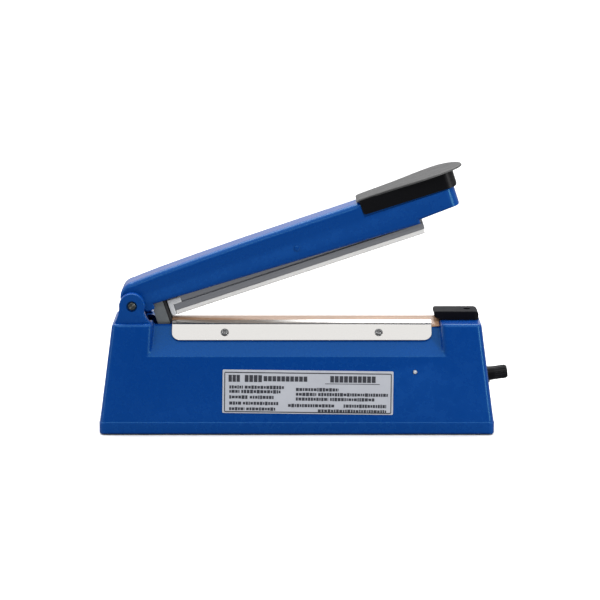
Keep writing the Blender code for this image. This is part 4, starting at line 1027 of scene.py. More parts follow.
def buildHandle():
    corner, (lowLeft, lowRight) = handle["corner"], handle["low"]
    left, right = handle["left"], handle["right"]
    low = arc((left + corner, lowLeft + corner), corner, 180, 270, 8)
    low += arc((right - corner, lowRight + corner), corner, 270, 360, 8)
    outline = low + [(right, handle["top"][1]), (left, handle["top"][0])]
    radii = [handle["lowEdge"]] * len(outline)
    skirt = makeObject("handleSkirt", softPrism(outline, handle["half"], radii, 6), armFrame)
    rounded = planTool(150, right, handle["half"] + 0.01, handle["endEdge"], -10, 60, armFrame)
    combine(skirt, [rounded], "INTERSECT")
    hollow = planTool(left - 10, handle["innerEnd"], handle["innerHalf"], handle["innerEdge"], -5,
                      handle["innerTop"], armFrame)
    holes = [rod((u, 0, 0), (0, 0, 1), arm["handleBore"], 10, 22.6, 20, armFrame) for u in arm["handleScrewU"]]
    combine(skirt, [hollow] + holes)
    finished(skirt, materials["blackPlastic"], "arm", ["handle_cap"])

    listed = handle["neck"]
    neck = [listed[0]]
    for before, start, end, after in zip([listed[0]] + listed, listed, listed[1:],
                                         listed[2:] + [handle["neckEnd"]]):
        for i in range(1, 5):  # a smooth curve through the listed points
            t = i / 4.0
            neck.append(tuple(0.5 * (2 * b + (c - a) * t + (2 * a - 5 * b + 4 * c - d) * t * t
                                     + (3 * b - a - 3 * c + d) * t ** 3)
                              for a, b, c, d in zip(before, start, end, after)))
    upper = neck + arc((handle["centre"], 0.0), handle["radius"], 90, 0, 18)[1:]
    plan = upper + [(u, -w) for u, w in reversed(upper[:-1])]

    def lowFace(u):
        return handle["under"] + (u - listed[0][0]) * handle["climb"]

    centreU, rim = handle["centre"], handle["rim"]
    rings = []
    # share of the outline, height above the lower face
    steps = [(0.985, 0.0), (0.996, 0.12), (1.0, 0.4), (1.0, rim - 1.15), (0.996, rim - 0.75),
             (0.985, rim - 0.38), (0.966, rim - 0.1), (0.94, rim + 0.1), (0.90, rim + 0.27),
             (0.83, rim + 0.45), (0.74, rim + 0.58), (0.5, rim + handle["crown"]),
             (0.2, rim + handle["crown"])]
    for share, rise in steps:
        along = 1.0 - (1.0 - share) * 0.75
        rings.append([(centreU + (u - centreU) * along, w * share,
                       lowFace(u) + rise - handle["droop"] * max(0.0, (u - centreU) / handle["radius"]) ** 2)
                      for u, w in plan])
    palm = makeObject("handlePalm", loft(rings), armFrame)
    finished(palm, materials["palmPlastic"], "arm", [], 50.0)


buildHandle()
print("handle done")


# The jaw: bar, tape, ribbon, the stretched cloth over them and the two plates that hold it
jaw = {
    "barLeft": -95.0, "barRight": 113.0, "barHalf": 5.2, "barTop": 88.9, "barLow": 82.4,
    "clothLeft": -100.7, "clothRight": 115.1, "clothThick": 0.25, "clothGap": 0.3, "clothDown": 13.4,
    "clothTop": [(-5.9, 89.1), (-4.4, 89.65), (-1.9, 89.9)],
    "plateLeft": -100.4, "plateRight": 108.5, "plateUnder": 0.85, "plateThick": 0.8, "plateFace": 14.8,
    "plateCorner": 6.5, "plateBend": 1.6, "screwX": (-58.0, 66.0), "screwDown": 7.8, "screwSeat": 1.75,
    "plateBore": 1.6, "barEdge": 0.6, "tapeHalf": 4.2, "tapeLow": 89.1, "tapeHigh": 89.35,
    "ribbonHalf": 1.3, "ribbonLow": 89.55, "ribbonHigh": 89.7, "ribbonLeft": -99.5, "ribbonRight": 124.0,
    # how far each end's corners are trimmed, and over what length of the jaw
    "trimLeft": 6.6, "trimLeftOver": 7.5, "trimRight": 11.6, "trimRightFrom": 16.0, "trimRightOver": 9.0,
    "curl": 1.1, "lift": 0.16,
}


def lengthAlong(path):
    total = [0.0]
    for a, b in zip(path, path[1:]):
        total.append(total[-1] + math.dist(a, b))
    return total


def pointAlong(path, total, distance):
    distance = min(max(distance, 0.0), total[-1])
    for i in range(len(path) - 1):
        if distance <= total[i + 1] or i == len(path) - 2:
            t = (distance - total[i]) / max(total[i + 1] - total[i], 1e-9)
            a, b = Vector(path[i]), Vector(path[i + 1])
            along = (b - a).normalized()
            return a.lerp(b, t), Vector((-along.y, along.x))


def gridSheet(columns, rows, pointAt):
    shape = bmesh.new()
    made = [[shape.verts.new(pointAt(x, share)) for share in rows] for x in columns]
    for left, right in zip(made, made[1:]):
        for i in range(len(rows) - 1):
            shape.faces.new((left[i], right[i], right[i + 1], left[i + 1]))
    return shape


def spread(low, high, count):
    return [low + (high - low) * i / (count - 1) for i in range(count)]


def platePath(out):
    # down-slope end first, over the shoulder, to the ridge's edge
    shoulder = Vector(base["slopeTop"])
    foot, ridge = Vector(onSlope(jaw["plateFace"])), Vector(base["ridgeEdge"])
    first, last = (foot - shoulder).normalized(), (ridge - shoulder).normalized()
    bend = jaw["plateBend"]
    curve = bow(tuple(shoulder + first * bend), tuple(shoulder), tuple(shoulder + last * bend), 6)
    path = [tuple(foot)] + curve + [tuple(ridge)]
    normals = []
    for i in range(len(path)):
        a, b = Vector(path[max(i - 1, 0)]), Vector(path[min(i + 1, len(path) - 1)])
        along = (b - a).normalized()
        normals.append(Vector((-along.y, along.x)))
    return [tuple(Vector(p) + n * out) for p, n in zip(path, normals)]


def buildPlate(side, name, node):
    path = platePath(jaw["plateUnder"] + jaw["plateThick"])
    total = lengthAlong(path)
    left, right, corner = jaw["plateLeft"], jaw["plateRight"], jaw["plateCorner"]
    columns = [left + corner * (1 - math.cos(a)) for a in spread(0.0, math.pi / 2, 14)]
    columns += spread(left + corner, right - corner, 42)[1:-1]
    columns += [right - corner * (1 - math.cos(a)) for a in spread(math.pi / 2, 0.0, 14)]
    drift = random.Random(5 + side)
    waves = [(drift.uniform(0.02, 0.05), drift.uniform(0, 6), drift.uniform(0.0006, 0.0016))
             for _ in range(3)]

    def pointAt(x, share):
        near = min(x - left, right - x)
        cut = corner - math.sqrt(max(corner ** 2 - max(corner - near, 0.0) ** 2, 0.0))
        spot, out = pointAlong(path, total, cut + (total[-1] - cut) * share)
        # the pressed sheet is never quite flat between its two screws
        swell = sum(0.05 * math.sin(x * k + phase) for k, phase, _ in waves) * (1.0 - share)
        spot = spot + out * swell * 0.4
        return x, side * -spot.x, spot.y

    rows = [0.0, 0.04, 0.12, 0.25, 0.42, 0.6, 0.66] + spread(0.70, 0.84, 8) + [0.88, 0.95, 1.0]
    shape = gridSheet(columns, rows, pointAt)
    if side > 0:
        bmesh.ops.reverse_faces(shape, faces=shape.faces)
    plate = makePlain(name, shape, baseFrame)
    upward = plate.data.polygons[len(plate.data.polygons) // 2].normal
    step = plate.modifiers.new("sheet", "SOLIDIFY")
    step.thickness = jaw["plateThick"] * mm
    step.offset = -1.0 if upward.z > 0 else 1.0
    step.use_even_offset = True
    applyModifiers(plate)
    bevelled(plate, 0.22, 3, 50.0)
    tools = []
    for x in jaw["screwX"]:
        y, z = onSlope(jaw["screwDown"])
        out = Vector(onSlope(jaw["screwDown"], 1.0)) - Vector((y, z))
        tools.append(rod((x, -side * y, z), (0, -side * out.x, out.y), jaw["plateBore"], -2, 4))
    combine(plate, tools)
    return finished(plate, materials["polishedPlate"], "base", [node], 40.0)


def makePlain(name, shape, place):
    # as makeObject, for an open sheet whose faces already point the right way
    shape.transform(place)
    mesh = bpy.data.meshes.new(name)
    shape.to_mesh(mesh)
    shape.free()
    made = bpy.data.objects.new(name, mesh)
    bpy.context.scene.collection.objects.link(made)
    return made


def clothPath():
    gap = jaw["clothGap"]
    half = [onSlope(jaw["clothDown"], gap), onSlope(0.4, gap)]
    half += [(base["slopeTop"][0] - 0.05, base["slopeTop"][1] + gap + 0.05)]
    half += [(base["ridgeEdge"][0] - 0.15, base["ridgeEdge"][1] + gap)]
    half += jaw["clothTop"]
    return half + [(-y, z) for y, z in half[::-1]]


def buildCloth():
    path = clothPath()
    total = lengthAlong(path)
    left, right = jaw["clothLeft"], jaw["clothRight"]
    rng = random.Random(11)
    waves = [(rng.uniform(0.05, 0.16), rng.uniform(0, 6.28), rng.uniform(0.4, 1.0)) for _ in range(5)]

    def cutAt(x):
        # the cloth's lower corners are trimmed, the free right end the most
        nearLeft = max(0.0, 1.0 - (x - left) / jaw["trimLeftOver"])
        nearRight = min(1.0, max(0.0, (x - right + jaw["trimRightFrom"]) / jaw["trimRightOver"]))
        return (jaw["trimLeft"] * nearLeft ** 1.6
                + jaw["trimRight"] * (nearRight * nearRight * (3 - 2 * nearRight)))

    def pointAt(x, share):
        cut = cutAt(x)
        spot, out = pointAlong(path, total, cut + (total[-1] - 2 * cut) * share)
        across = abs(share - 0.5) * 2.0
        corner = min(1.0, max(0.0, 1.0 - (right - x - 1.0) / 6.0)) * max(0.0, (across - 0.55) / 0.45)
        spot = spot + out * jaw["curl"] * corner ** 1.4
        tent = max(0.0, 1.0 - abs(across - 0.38) / 0.2)  # only the free band can lift
        lift = tent * jaw["lift"] * (0.55 + 0.45 * sum(s * math.sin(x * k + p) for k, p, s in waves) / 2.0)
        lift += 0.02 * math.sin(x * 0.9 + share * 40.0) * (1.0 - tent)
        spot = spot + out * max(lift, -0.02)
        return x, spot.x, spot.y

    shape = gridSheet(spread(left, right, 150), spread(0.0, 1.0, 61), pointAt)
    cloth = makePlain("ptfeSheet", shape, baseFrame)
    if sum(face.normal.z for face in cloth.data.polygons) < 0:
        cloth.data.flip_normals()
    step = cloth.modifiers.new("sheet", "SOLIDIFY")
    step.thickness = jaw["clothThick"] * mm
    step.offset = 1.0
    applyModifiers(cloth)
    finished(cloth, materials["ptfeCloth"], "base", ["ptfe_cloth"], 50.0)
    print("cloth cut", [round(total[-1], 1), round(right - left, 1)], "mm")


def flatSection(half, low, high):
    return [(-half, low), (half, low), (half, high), (-half, high)]


def buildSealBar():
    half, low, top, edge = jaw["barHalf"], jaw["barLow"], jaw["barTop"], jaw["barEdge"]
    section = [(-half, low), (half, low), (half, top - edge), (half - edge, top), (edge - half, top),
               (-half, top - edge)]
    sealBar = drawn("sealBar", section, jaw["barLeft"], jaw["barRight"], materials["barAluminium"])
    finished(bevelled(sealBar, 0.2, 2), materials["barAluminium"], "base", ["seal_bar"])
    section = flatSection(jaw["tapeHalf"], jaw["tapeLow"], jaw["tapeHigh"])
    tape = drawn("insulationTape", section, jaw["barLeft"], jaw["barRight"], materials["glassTape"])
    finished(tape, materials["glassTape"], "base", ["insulation_strip"])
    section = flatSection(jaw["ribbonHalf"], jaw["ribbonLow"], jaw["ribbonHigh"])
    ribbon = drawn("heatRibbon", section, jaw["ribbonLeft"], jaw["ribbonRight"], materials["nichrome"])
    finished(ribbon, materials["nichrome"], "base", ["heating_element"])


buildSealBar()
buildPlate(1, "clampPlateFront", "clamp_plate_front")
buildPlate(-1, "clampPlateRear", "clamp_plate_rear")
buildCloth()

plateSpots, plateAxes = [], []
for side in (1, -1):
    for x in jaw["screwX"]:
        y, z = onSlope(jaw["screwDown"], jaw["screwSeat"])
        y1, z1 = onSlope(jaw["screwDown"], jaw["screwSeat"] + 1.0)
        plateSpots.append((x, side * y, z))
        plateAxes.append((0.0, side * (y1 - y), z1 - z))
screws("plateScrews", plateSpots, plateAxes,
       ["plate_screw_front_left", "plate_screw_front_right", "plate_screw_rear_left", "plate_screw_rear_right"])
print("jaw done")


# The aluminium press bar, its rubber face and the white clip on its end
pressBar = {
    "start": 30.7, "end": 242.4, "stripEnd": 241.4,
    "half": [(-5.7, -9.0), (-5.7, 5.0), (-7.2, 5.0), (-7.2, -11.2), (-6.4, -11.2), (-6.4, -12.0),
             (-8.0, -12.0), (-8.0, -17.0)],
    "strip": [(-7.5, -17.1), (-7.5, -19.6), (-7.2, -20.3), (-6.4, -20.9)],
    "clipStart": 26.4, "clipHalf": 8.9, "clipLow": -20.3, "clipTop": -7.0, "clipInner": 7.5,
    "cheekLow": -11.9, "cheekEnd": 37.5, "clipCorner": 1.6, "clipEdge": 0.8,
}


def mirroredHalf(points):
    return points + [(-y, v) for y, v in points[::-1]]


bar = drawn("pressBar", mirroredHalf(pressBar["half"]), pressBar["start"], pressBar["end"],
            materials["aluminium"], armFrame)
bevelled(bar, 0.25, 3, 50.0)
combine(bar, [rod((pivot["u"], 0, pivot["v"]), (0, 1, 0), pivotBore, -12, 12, 32, armFrame)])
finished(bar, materials["aluminium"], "press_bar", ["press_bar"])
strip = drawn("siliconeFace", mirroredHalf(pressBar["strip"]), pressBar["start"], pressBar["stripEnd"],
              materials["silicone"], armFrame)
bevelled(strip, 0.3, 3, 30.0)
finished(strip, materials["silicone"], "press_bar", ["silicone_strip"])


def buildClip():
    low, top, start = pressBar["clipLow"], pressBar["clipTop"], pressBar["clipStart"]
    edge, corner, soft = pressBar["start"] - 0.3, pressBar["clipCorner"], pressBar["clipEdge"]
    cheekEnd, cheekLow, inner = pressBar["cheekEnd"], pressBar["cheekLow"], pressBar["clipInner"]
    outline = [(edge, low)] + arc((start + corner, low + corner), corner, 270, 180, 6)
    outline += [(start, top), (cheekEnd - soft, top), (cheekEnd, top - soft), (cheekEnd, cheekLow),
                (edge, cheekLow)]
    shape = softPrism(outline, pressBar["clipHalf"], [soft] * len(outline), 4)
    clip = makeObject("endClip", shape, armFrame)
    combine(clip, [boxTool((edge, -inner, -30.0), (cheekEnd + 3, inner, 5.0), armFrame)])
    return finished(clip, materials["whitePlastic"], "press_bar", ["bar_end_clip"])


buildClip()

# A closed steel strap under the arm works the spring and the switch
lever = {"left": 13.4, "right": 23.3, "half": 8.0, "low": -27.0, "top": 11.5, "sheet": 1.5, "bend": 1.6,
         "innerBend": 0.5}


def buildLever():
    half, low, top, sheet = lever["half"], lever["low"], lever["top"], lever["sheet"]
    outline = roundedBoxAt(half, low, top, lever["bend"])
    opening = roundedBoxAt(half - sheet, low + sheet, top - sheet, lever["innerBend"])
    outer = [[(u, y, v) for y, v in outline] for u in (lever["left"], lever["right"])]
    inner = [[(u, y, v) for y, v in opening] for u in (lever["left"] - 3, lever["right"] + 3)]
    strap = makeObject("leverStrap", loft(outer), armFrame)
    combine(strap, [makeObject("space", loft(inner), armFrame),
                    rod((arm["rivetU"], 0, 0), (0, 0, 1), arm["rivetBore"], 8, 15, 20, armFrame)])
    bevelled(strap, 0.2, 2, 50.0)
    return finished(strap, materials["zincSteel"], "arm", ["lever_plate"])


def roundedBoxAt(halfY, low, high, radius):
    middle = (low + high) / 2.0
    return [(y, middle + z) for y, z in roundedBox(halfY, (high - low) / 2.0, radius)]


buildLever()
# painted shade: these dark strips beside the strap stand in for shade next to the clip
shadeStrip = {"left": 23.0, "right": 25.3, "outer": 8.4, "inner": 6.0, "low": -26.2, "top": -5.9, "edge": 0.5}


def buildShadeStrip():
    # painted shade: dark rubber channels pushed over the strap's long edges, next to the bar, stand in for the
    # shade in the gap beside the bar's end clip
    made = None
    for side in (-1, 1):
        y = side * (shadeStrip["outer"] + shadeStrip["inner"]) / 2.0
        half = (shadeStrip["outer"] - shadeStrip["inner"]) / 2.0
        outline = [(shadeStrip["left"], shadeStrip["low"]), (shadeStrip["right"], shadeStrip["low"]),
                   (shadeStrip["right"], shadeStrip["top"]), (shadeStrip["left"], shadeStrip["top"])]
        piece = makeObject("leverShadeStrip", softPrism(outline, half, [shadeStrip["edge"]] * 4, 4, y), armFrame)
        made = joined(made, [piece]) if made else piece
    return finished(made, materials["rubber"], "arm")


buildShadeStrip()
rivetLevel = lever["top"] - lever["sheet"] - 0.2
screws("leverRivet", [(arm["rivetU"], 0, rivetLevel)], [(0, 0, -1)], ["lever_rivet"], "arm", armFrame)
screws("handleScrews", [(u, 0, arm["ceiling"] - 0.2) for u in arm["handleScrewU"]], [(0, 0, -1)] * 2,
       ["handle_screw_front", "handle_screw_rear"], "arm", armFrame)


def turnedPiece(name, profile, spot, axis, material, body, nodes, place=baseFrame, sides=48,
                closed=False, sharp=35.0):
    spin = place @ Matrix.Translation(spot) @ Vector(axis).to_track_quat("Z", "Y").to_matrix().to_4x4()
    made = makeObject(name, turned(profile, sides, closed), spin)
    return finished(made, materials[material], body, nodes, sharp)


# hinge pin, its clip and washers, and the rivet that the bar rocks on: radius, distance along the axis
hinge = {
    "pin": [(0.01, -24.2), (2.2, -24.2), (2.5, -23.8), (2.5, 22.9), (3.3, 22.9), (3.3, 24.0), (2.6, 24.6),
            (0.01, 24.6)], "pinEdge": 0.3,
    "clip": [(2.7, 22.9), (3.7, 22.9), (3.8, 23.0), (3.8, 23.9), (3.7, 24.0), (2.7, 24.0)],
    "washer": [(2.8, 15.6), (5.9, 15.6), (6.0, 15.7), (6.0, 16.6), (5.9, 16.7), (2.8, 16.7)],
    "rivet": [(0.01, -16.3), (1.2, -16.3), (2.4, -15.9), (2.5, -15.5), (pivot["radius"], -15.5),
              (pivot["radius"], 15.5), (2.5, 15.5), (2.4, 15.9), (1.2, 16.3), (0.01, 16.3)], "rivetEdge": 0.35,
}
turnedPiece("hingePin", softProfile(hinge["pin"], hinge["pinEdge"]), hingeSpot, (0, -1, 0), "pinSteel", "base",
            ["hinge_pin"])
turnedPiece("pinClip", hinge["clip"], hingeSpot, (0, 1, 0), "pinSteel", "base", ["hinge_clip"],
            closed=True)
for sideName, direction in (("Front", -1), ("Rear", 1)):
    turnedPiece("hingeWasher" + sideName, hinge["washer"], hingeSpot, (0, direction, 0), "nylon", "base",
                ["hinge_washer_" + sideName.lower()], closed=True)
turnedPiece("pivotRivet", softProfile(hinge["rivet"], hinge["rivetEdge"]), (pivot["u"], 0, pivot["v"]),
            (0, -1, 0), "bluePlastic", "arm", ["pivot_rivet"], armFrame)
print("arm fittings done")


# The black cover over the live terminal
cover = {"left": 118.2, "right": 147.1, "low": 89.05, "top": 96.2, "half": 12.0, "round": 3.4, "plan": 4.2,
         "lip": [(112.0, 96.2), (111.0, 95.2), (110.8, 92.8), (111.6, 91.6), (115.8, 89.2)],
         "hollow": ((100, -10.3, 80), (131, 10.3, 93.5)), "headBore": 2.9, "seat": 93.3}


def buildCover():
    outline = [(cover["left"], cover["low"]), (cover["right"], cover["low"])]
    outline += arc((cover["right"] - cover["round"], cover["top"] - cover["round"]), cover["round"], 0, 90, 10)
    outline += cover["lip"]
    radii = [0.5, 0.7] + [0.9] * 11 + [0.8] * 4 + [0.5]
    made = makeObject("terminalCover", softPrism(outline, cover["half"], radii, 6), baseFrame)
    combine(made, [planTool(90, cover["right"], cover["half"] + 0.01, cover["plan"], 80, 110, baseFrame)],
            "INTERSECT")
    screwAt = (base["coverScrewX"], 0, 0)
    combine(made, [boxTool(*cover["hollow"]), rod(screwAt, (0, 0, 1), cover["headBore"], cover["seat"], 99),
                   rod(screwAt, (0, 0, 1), base["coverBore"], 80, 94)])
    return finished(made, materials["coverPlastic"], "base", ["terminal_cover"])


buildCover()
terminalTop = 91.8
screws("coverScrew", [(base["coverScrewX"], 0, cover["seat"] + 0.3)], [(0, 0, 1)], ["cover_screw"])
screws("terminalScrew", [(base["terminalScrewX"], 0, terminalTop)], [(0, 0, 1)], ["terminal_screw"])


# Timer knob: a ribbed barrel with a small pointer, on the leaning end wall
knob = {
    "profile": [(2.3, 13.0), (2.3, 3.4), (3.7, 3.4), (3.7, 2.6), (4.9, 2.6), (4.9, 0.5), (6.3, 0.5),
                (6.2, 2.4), (5.8, 3.4), (5.0, 17.4), (4.5, 18.2)],
    "ribs": 20, "ribSize": (0.7, 0.7, 13.4), "ribRadius": 5.2, "ribLevel": 10.2,
    "top": [(4.7, 13.2), (4.7, 18.2), (4.1, 18.25), (3.8, 18.0), (0.01, 18.0), (0.01, 13.2)],
    "nib": [(5.2, -1.5), (7.4, -0.3), (7.4, 0.3), (5.2, 1.5)], "nibHigh": (0.5, 3.2),
}
dial = {"ticks": 10, "radius": 9.6, "size": (2.0, 0.35, 0.12), "level": 0.06, "sweep": math.tau * 5 / 6}


def buildKnob():
    body = makeObject("timerKnob", turned(knob["profile"], 64, closed=True), knobFrame)
    start = pointsObject("ribStart", [(0, 0, 0)])
    ribs = ribGrowth.grow("ribs", start, {
        "Count": knob["ribs"], "Radius": knob["ribRadius"], "Size": knob["ribSize"],
        "Level": knob["ribLevel"], "First": math.pi / knob["ribs"], "Sweep": math.tau,
        "Material": materials["blackPlastic"]}, knobFrame)
    top = makeObject("top", turned(knob["top"], 48, closed=True), knobFrame)
    low, high = knob["nibHigh"]
    nib = makeObject("nib", loft([[(x, y, z) for x, y in knob["nib"]] for z in (low, high)]), knobFrame)
    joined(body, [ribs, top, nib])
    return finished(body, materials["blackPlastic"], "knob", ["timer_knob"])


def buildDial():
    start = pointsObject("dialStart", [(0, 0, 0)])
    ticks = ribGrowth.grow("dialTicks", start, {
        "Count": dial["ticks"], "Radius": dial["radius"], "Size": dial["size"], "Level": dial["level"],
        "First": 0.0, "Sweep": dial["sweep"], "Material": materials["scaleInk"]}, knobFrame)
    return finished(ticks, materials["scaleInk"], "base")


buildKnob()
buildDial()
turnedPiece("lampLens", softProfile(lamp["profile"], 0.5, 6), lampSpot, frontOut, "lampLens", "base",
            ["indicator_lamp"], sharp=60.0)
turnedPiece("cordGland", gland["profile"], glandSpot, rearOut, "rubber", "base", ["cord_gland"],
            closed=True)

foot = {"screwLevel": 2.4,
        "corners": [("Front", "Left"), ("Rear", "Left"), ("Front", "Right"), ("Rear", "Right")],
        "profile": [(3.3, 0.0), (5.5, 0.0), (5.8, 0.25), (6.25, 1.1), (6.3, 1.5), (6.3, 4.2), (1.6, 4.2),
                    (1.6, 2.7), (3.3, 2.7)]}
for (front, left), spot in zip(foot["corners"], bossSpots):
    turnedPiece("foot" + front + left, foot["profile"], spot, (0, 0, 1), "rubber", "base",
                [f"foot_{front}_{left}".lower()], closed=True)
screws("baseScrews", [(x, y, foot["screwLevel"]) for x, y, _ in bossSpots], [(0, 0, -1)] * 4,
       [f"base_screw_{front}_{left}".lower() for front, left in foot["corners"]])
print("fittings done")


# The printed plate: a metal film with a frame line and blocks where print would be
label = {
    "x": 8.9, "z": 35.0, "halfX": 68.5, "halfZ": 17.5, "turn": math.radians(0.7), "low": 0.15, "high": 0.42,
    "ink": 0.42, "inkThick": 0.06, "blockPitch": 0.026, "blockFill": 0.84,
    "barLong": (0.008, 0.019), "barTall": (0.030, 0.042), "barGap": 0.0032,
    # blocks as shares of the plate from its left and top edges: left, right, top, bottom
    "blocks": [(0.035, 0.105, 0.12, 0.28), (0.13, 0.235, 0.12, 0.28), (0.24, 0.50, 0.14, 0.26),
               (0.63, 0.90, 0.12, 0.27)],
    "rule": (0.60, 0.92, 0.295, 0.31),
    # lines of print: left, right, middle height
    "lines": [(0.04, 0.12, 0.40), (0.13, 0.36, 0.40), (0.04, 0.10, 0.50), (0.11, 0.34, 0.50),
              (0.04, 0.15, 0.63), (0.16, 0.30, 0.63), (0.04, 0.11, 0.77), (0.12, 0.33, 0.77),
              (0.04, 0.13, 0.90), (0.14, 0.31, 0.90), (0.43, 0.68, 0.44), (0.43, 0.55, 0.55),
              (0.56, 0.97, 0.55), (0.43, 0.62, 0.66), (0.63, 0.89, 0.66), (0.385, 0.655, 0.81),
              (0.71, 0.96, 0.81), (0.56, 0.96, 0.93)],
    "border": [(0.014, 0.986, 0.052, 0.076), (0.014, 0.986, 0.954, 0.978), (0.010, 0.0155, 0.064, 0.966),
               (0.9845, 0.990, 0.064, 0.966)],
}


def labelFrame():
    spot = Vector((label["x"], -wallHalf(label["z"])[1], label["z"]))
    turn = (Matrix.Rotation(label["turn"], 4, "Y") @ Matrix.Rotation(math.pi / 2 - sideLean, 4, "X"))
    return baseFrame @ Matrix.Translation(spot) @ turn


def buildLabel():
    place = labelFrame()
    plan = roundedBox(label["halfX"], label["halfZ"], 0.9)
    film = makeObject("labelPlate", loft([[(x, y, z) for x, y in plan] for z in (label["low"], label["high"])]),
                      place)
    finished(bevelled(film, 0.1, 2, 50.0), materials["labelFilm"], "base", ["nameplate"])

    rng = random.Random(3)
    spots, sizes = [], []
    level = label["ink"] + label["inkThick"] / 2.0

    def lay(left, right, top, bottom):
        spots.append(((left + right - 1.0) * label["halfX"], (1.0 - top - bottom) * label["halfZ"], level))
        sizes.append(((right - left) * 2 * label["halfX"], (bottom - top) * 2 * label["halfZ"],
                      label["inkThick"]))

    for left, right, top, bottom in label["blocks"]:
        count = max(3, round((right - left) / label["blockPitch"]))
        for i in range(count):
            a = left + (right - left) * i / count
            lay(a, a + (right - left) / count * label["blockFill"], top, bottom)
    lay(*label["rule"])
    for left, right, middle in label["lines"]:
        a = left
        while a < right:
            length = min(rng.uniform(*label["barLong"]), right - a)
            tall = rng.uniform(*label["barTall"])
            lay(a, a + length, middle - tall, middle + tall)
            a += length + label["barGap"]
    for side in label["border"]:
        lay(*side)
    start = pointsObject("inkStart", spots, sizes=sizes)
    ink = blockGrowth.grow("labelPrint", start, {"Material": materials["labelInk"]}, place)
    finished(ink, materials["labelInk"], "base")


buildLabel()
print("label done")


# Under the shell: coil, laminated core, spring, and the plain parts that keep their own solids
inside = {"coreX": 20.0, "coreHalfX": 33.0, "coreHalfY": 18.0, "coreLow": 6.2, "coreHigh": 61.2, "yoke": 11.0,
          "sheets": 24, "springX": -109.0, "springY": -3.6, "springLow": 45.0, "springHigh": 80.4,
          "springRadius": 2.6, "springWire": 0.45, "springTurns": 9}


def buildCore():
    # one punched sheet, stacked through the core's depth
    pitch = 2 * inside["coreHalfY"] / inside["sheets"]
    halfX, low, high, yoke = inside["coreHalfX"], inside["coreLow"], inside["coreHigh"], inside["yoke"]
    sheet = makeObject("sheet", block((-halfX, 0.0, low), (halfX, pitch * 0.82, high)))
    windows = []
    for side in (-1, 1):
        middle = side * (halfX / 3.0 + yoke / 2.0)
        opening = block((middle - yoke / 2, -2, low + yoke), (middle + yoke / 2, 4, high - yoke))
        windows.append(makeObject("window", opening))
    combine(sheet, windows)
    place = baseFrame @ Matrix.Translation((inside["coreX"], -inside["coreHalfY"] + pitch * 0.09, 0))
    core = stackGrowth.grow("laminatedCore", sheet, {"Count": inside["sheets"], "Pitch": pitch,
                                                     "Material": materials["laminations"]}, place)
    return finished(core, materials["laminations"], "base", ["transformer_core"])


def buildSpring():
    start = pointsObject("springStart", [(inside["springX"], inside["springY"],
                                          inside["springLow"] + inside["springWire"])])
    spring = coilGrowth.grow("returnSpring", start, {
        "Radius": inside["springRadius"], "Wire": inside["springWire"],
        "Height": inside["springHigh"] - inside["springLow"] - 2 * inside["springWire"],
        "Turns": float(inside["springTurns"]), "Material": materials["steel"]}, baseFrame)
    finished(spring, materials["steel"], "base", ["return_spring"])
    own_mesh(spring)


buildCore()
buildSpring()
plainNodes = {
    "bottom_plate": "zincSteel", "spring_bracket": "zincSteel", "transformer_strap": "zincSteel",
    "transformer_coil": "coilWrap", "terminal_left": "brass", "terminal_right": "brass",
    "bracket_screw_left": "steel", "bracket_screw_right": "steel", "strap_screw_left": "steel",
    "strap_screw_right": "steel", "timer_board": "circuitBoard", "timer_potentiometer": "steel",
    "potentiometer_nut": "brass", "microswitch": "blackPlastic", "switch_plunger": "nylon",
}
for nodeName, materialName in plainNodes.items():
    held = frame["nodes"][nodeName].data.materials
    held.clear()
    held.append(materials[materialName])
print("inside done")


# Camera, floor and lights
view = {"elevation": 11.0, "distance": 2.0, "target": (-0.0028, 0.0, 0.1033), "lens": 147.9}
lights = {
    "top": dict(place=(0.0, 0.45, 1.25), aim=(0.0, 0.0, 0.1), size=(1.5, 0.7), power=13.0),
    "right": dict(place=(1.1, -0.85, 0.42), aim=(0.0, 0.0, 0.09), size=(0.11, 0.9), power=8.0),
    "left": dict(place=(-1.3, -0.4, 0.42), aim=(0.0, 0.0, 0.09), size=(0.16, 0.8), power=2.5),
    "front": dict(place=(0.0, -1.1, 0.95), aim=(0.0, 0.0, 0.1), size=(1.4, 0.06), power=3.0),
}
sun = {"aim": (0.15, 0.12, -1.0), "strength": 2.5, "angle": 135.0}
sky = {"front": 0.06, "back": 1.0, "floor": (0.92, 0.92, 0.92, 1.0), "bounce": (0.26, 0.26, 0.26, 1.0)}


def addCamera():
    lens = bpy.data.cameras.new("camera")
    lens.lens = view["lens"]
    lens.sensor_width = 36.0
    lens.clip_end = 40.0
    made = bpy.data.objects.new("camera", lens)
    bpy.context.scene.collection.objects.link(made)
    lift = math.radians(view["elevation"])
    target = Vector(view["target"])
    made.location = target + Vector((0.0, -math.cos(lift), math.sin(lift))) * view["distance"]
    made.rotation_euler = (target - made.location).to_track_quat("-Z", "Y").to_euler()
    bpy.context.scene.camera = made


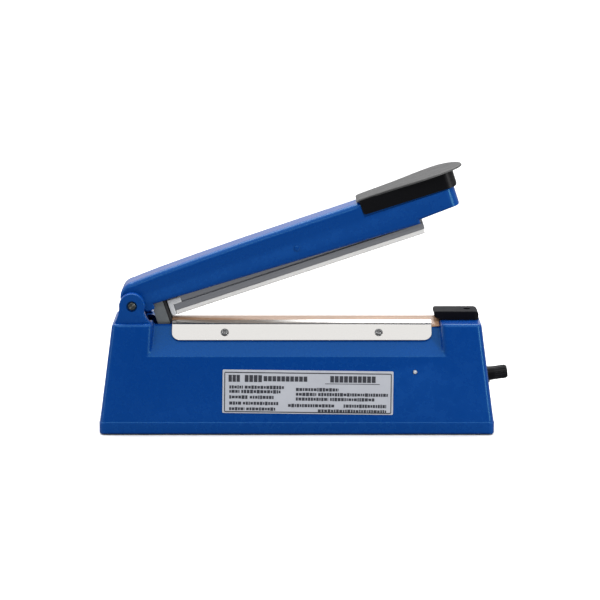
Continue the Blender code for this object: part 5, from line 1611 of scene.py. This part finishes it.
def addFloor():
    floor = bpy.data.objects.new("floor", bpy.data.meshes.new("floor"))
    floor.data.from_pydata([(-12, -6, 0), (12, -6, 0), (12, 18, 0), (-12, 18, 0)], [], [(0, 1, 2, 3)])
    bpy.context.scene.collection.objects.link(floor)
    paper = bpy.data.materials.new("paper")
    paper.use_nodes = True
    # the sheet looks white, and throws back less light than that on to the object
    seen = nodeIn(paper.node_tree, "ShaderNodeLightPath").outputs["Is Camera Ray"]
    paper.node_tree.links.new(mixOf(paper.node_tree, seen, sky["bounce"], sky["floor"]),
                              paper.node_tree.nodes["Principled BSDF"].inputs["Base Color"])
    paper.node_tree.nodes["Principled BSDF"].inputs["Roughness"].default_value = 0.9
    floor.data.materials.append(paper)


def addLit(name, lit, place, aim):
    made = bpy.data.objects.new(name, lit)
    bpy.context.scene.collection.objects.link(made)
    made.location = place
    made.rotation_euler = Vector(aim).to_track_quat("-Z", "Y").to_euler()


def addLights():
    for name, held in lights.items():
        lit = bpy.data.lights.new(name, "AREA")
        lit.shape = "RECTANGLE"
        lit.size, lit.size_y = held["size"]
        lit.energy = held["power"]
        addLit(name, lit, held["place"], Vector(held["aim"]) - Vector(held["place"]))
    lit = bpy.data.lights.new("key", "SUN")
    lit.energy = sun["strength"]
    lit.angle = math.radians(sun["angle"])
    addLit("key", lit, (0.0, -1.0, 2.0), sun["aim"])
    # the room is white behind and above, and dimmer towards the viewer
    world = bpy.data.worlds.new("studio")
    bpy.context.scene.world = world
    world.use_nodes = True
    tree = world.node_tree
    split = nodeIn(tree, "ShaderNodeSeparateXYZ")
    tree.links.new(nodeIn(tree, "ShaderNodeTexCoord").outputs["Generated"], split.inputs[0])
    raised = mathOf(tree, "MULTIPLY_ADD", split.outputs[2], 0.9)
    tree.links.new(split.outputs[1], raised.node.inputs[2])
    light = rangeOf(tree, raised, -0.3, 1.3, sky["front"], sky["back"])
    tree.links.new(light, tree.nodes["Background"].inputs["Strength"])
    tree.nodes["Background"].inputs["Color"].default_value = (1.0, 1.0, 1.0, 1.0)
    bpy.context.scene.view_settings.view_transform = "Standard"


addCamera()
addFloor()
addLights()
bpy.context.view_layer.update()
print("scene ready")
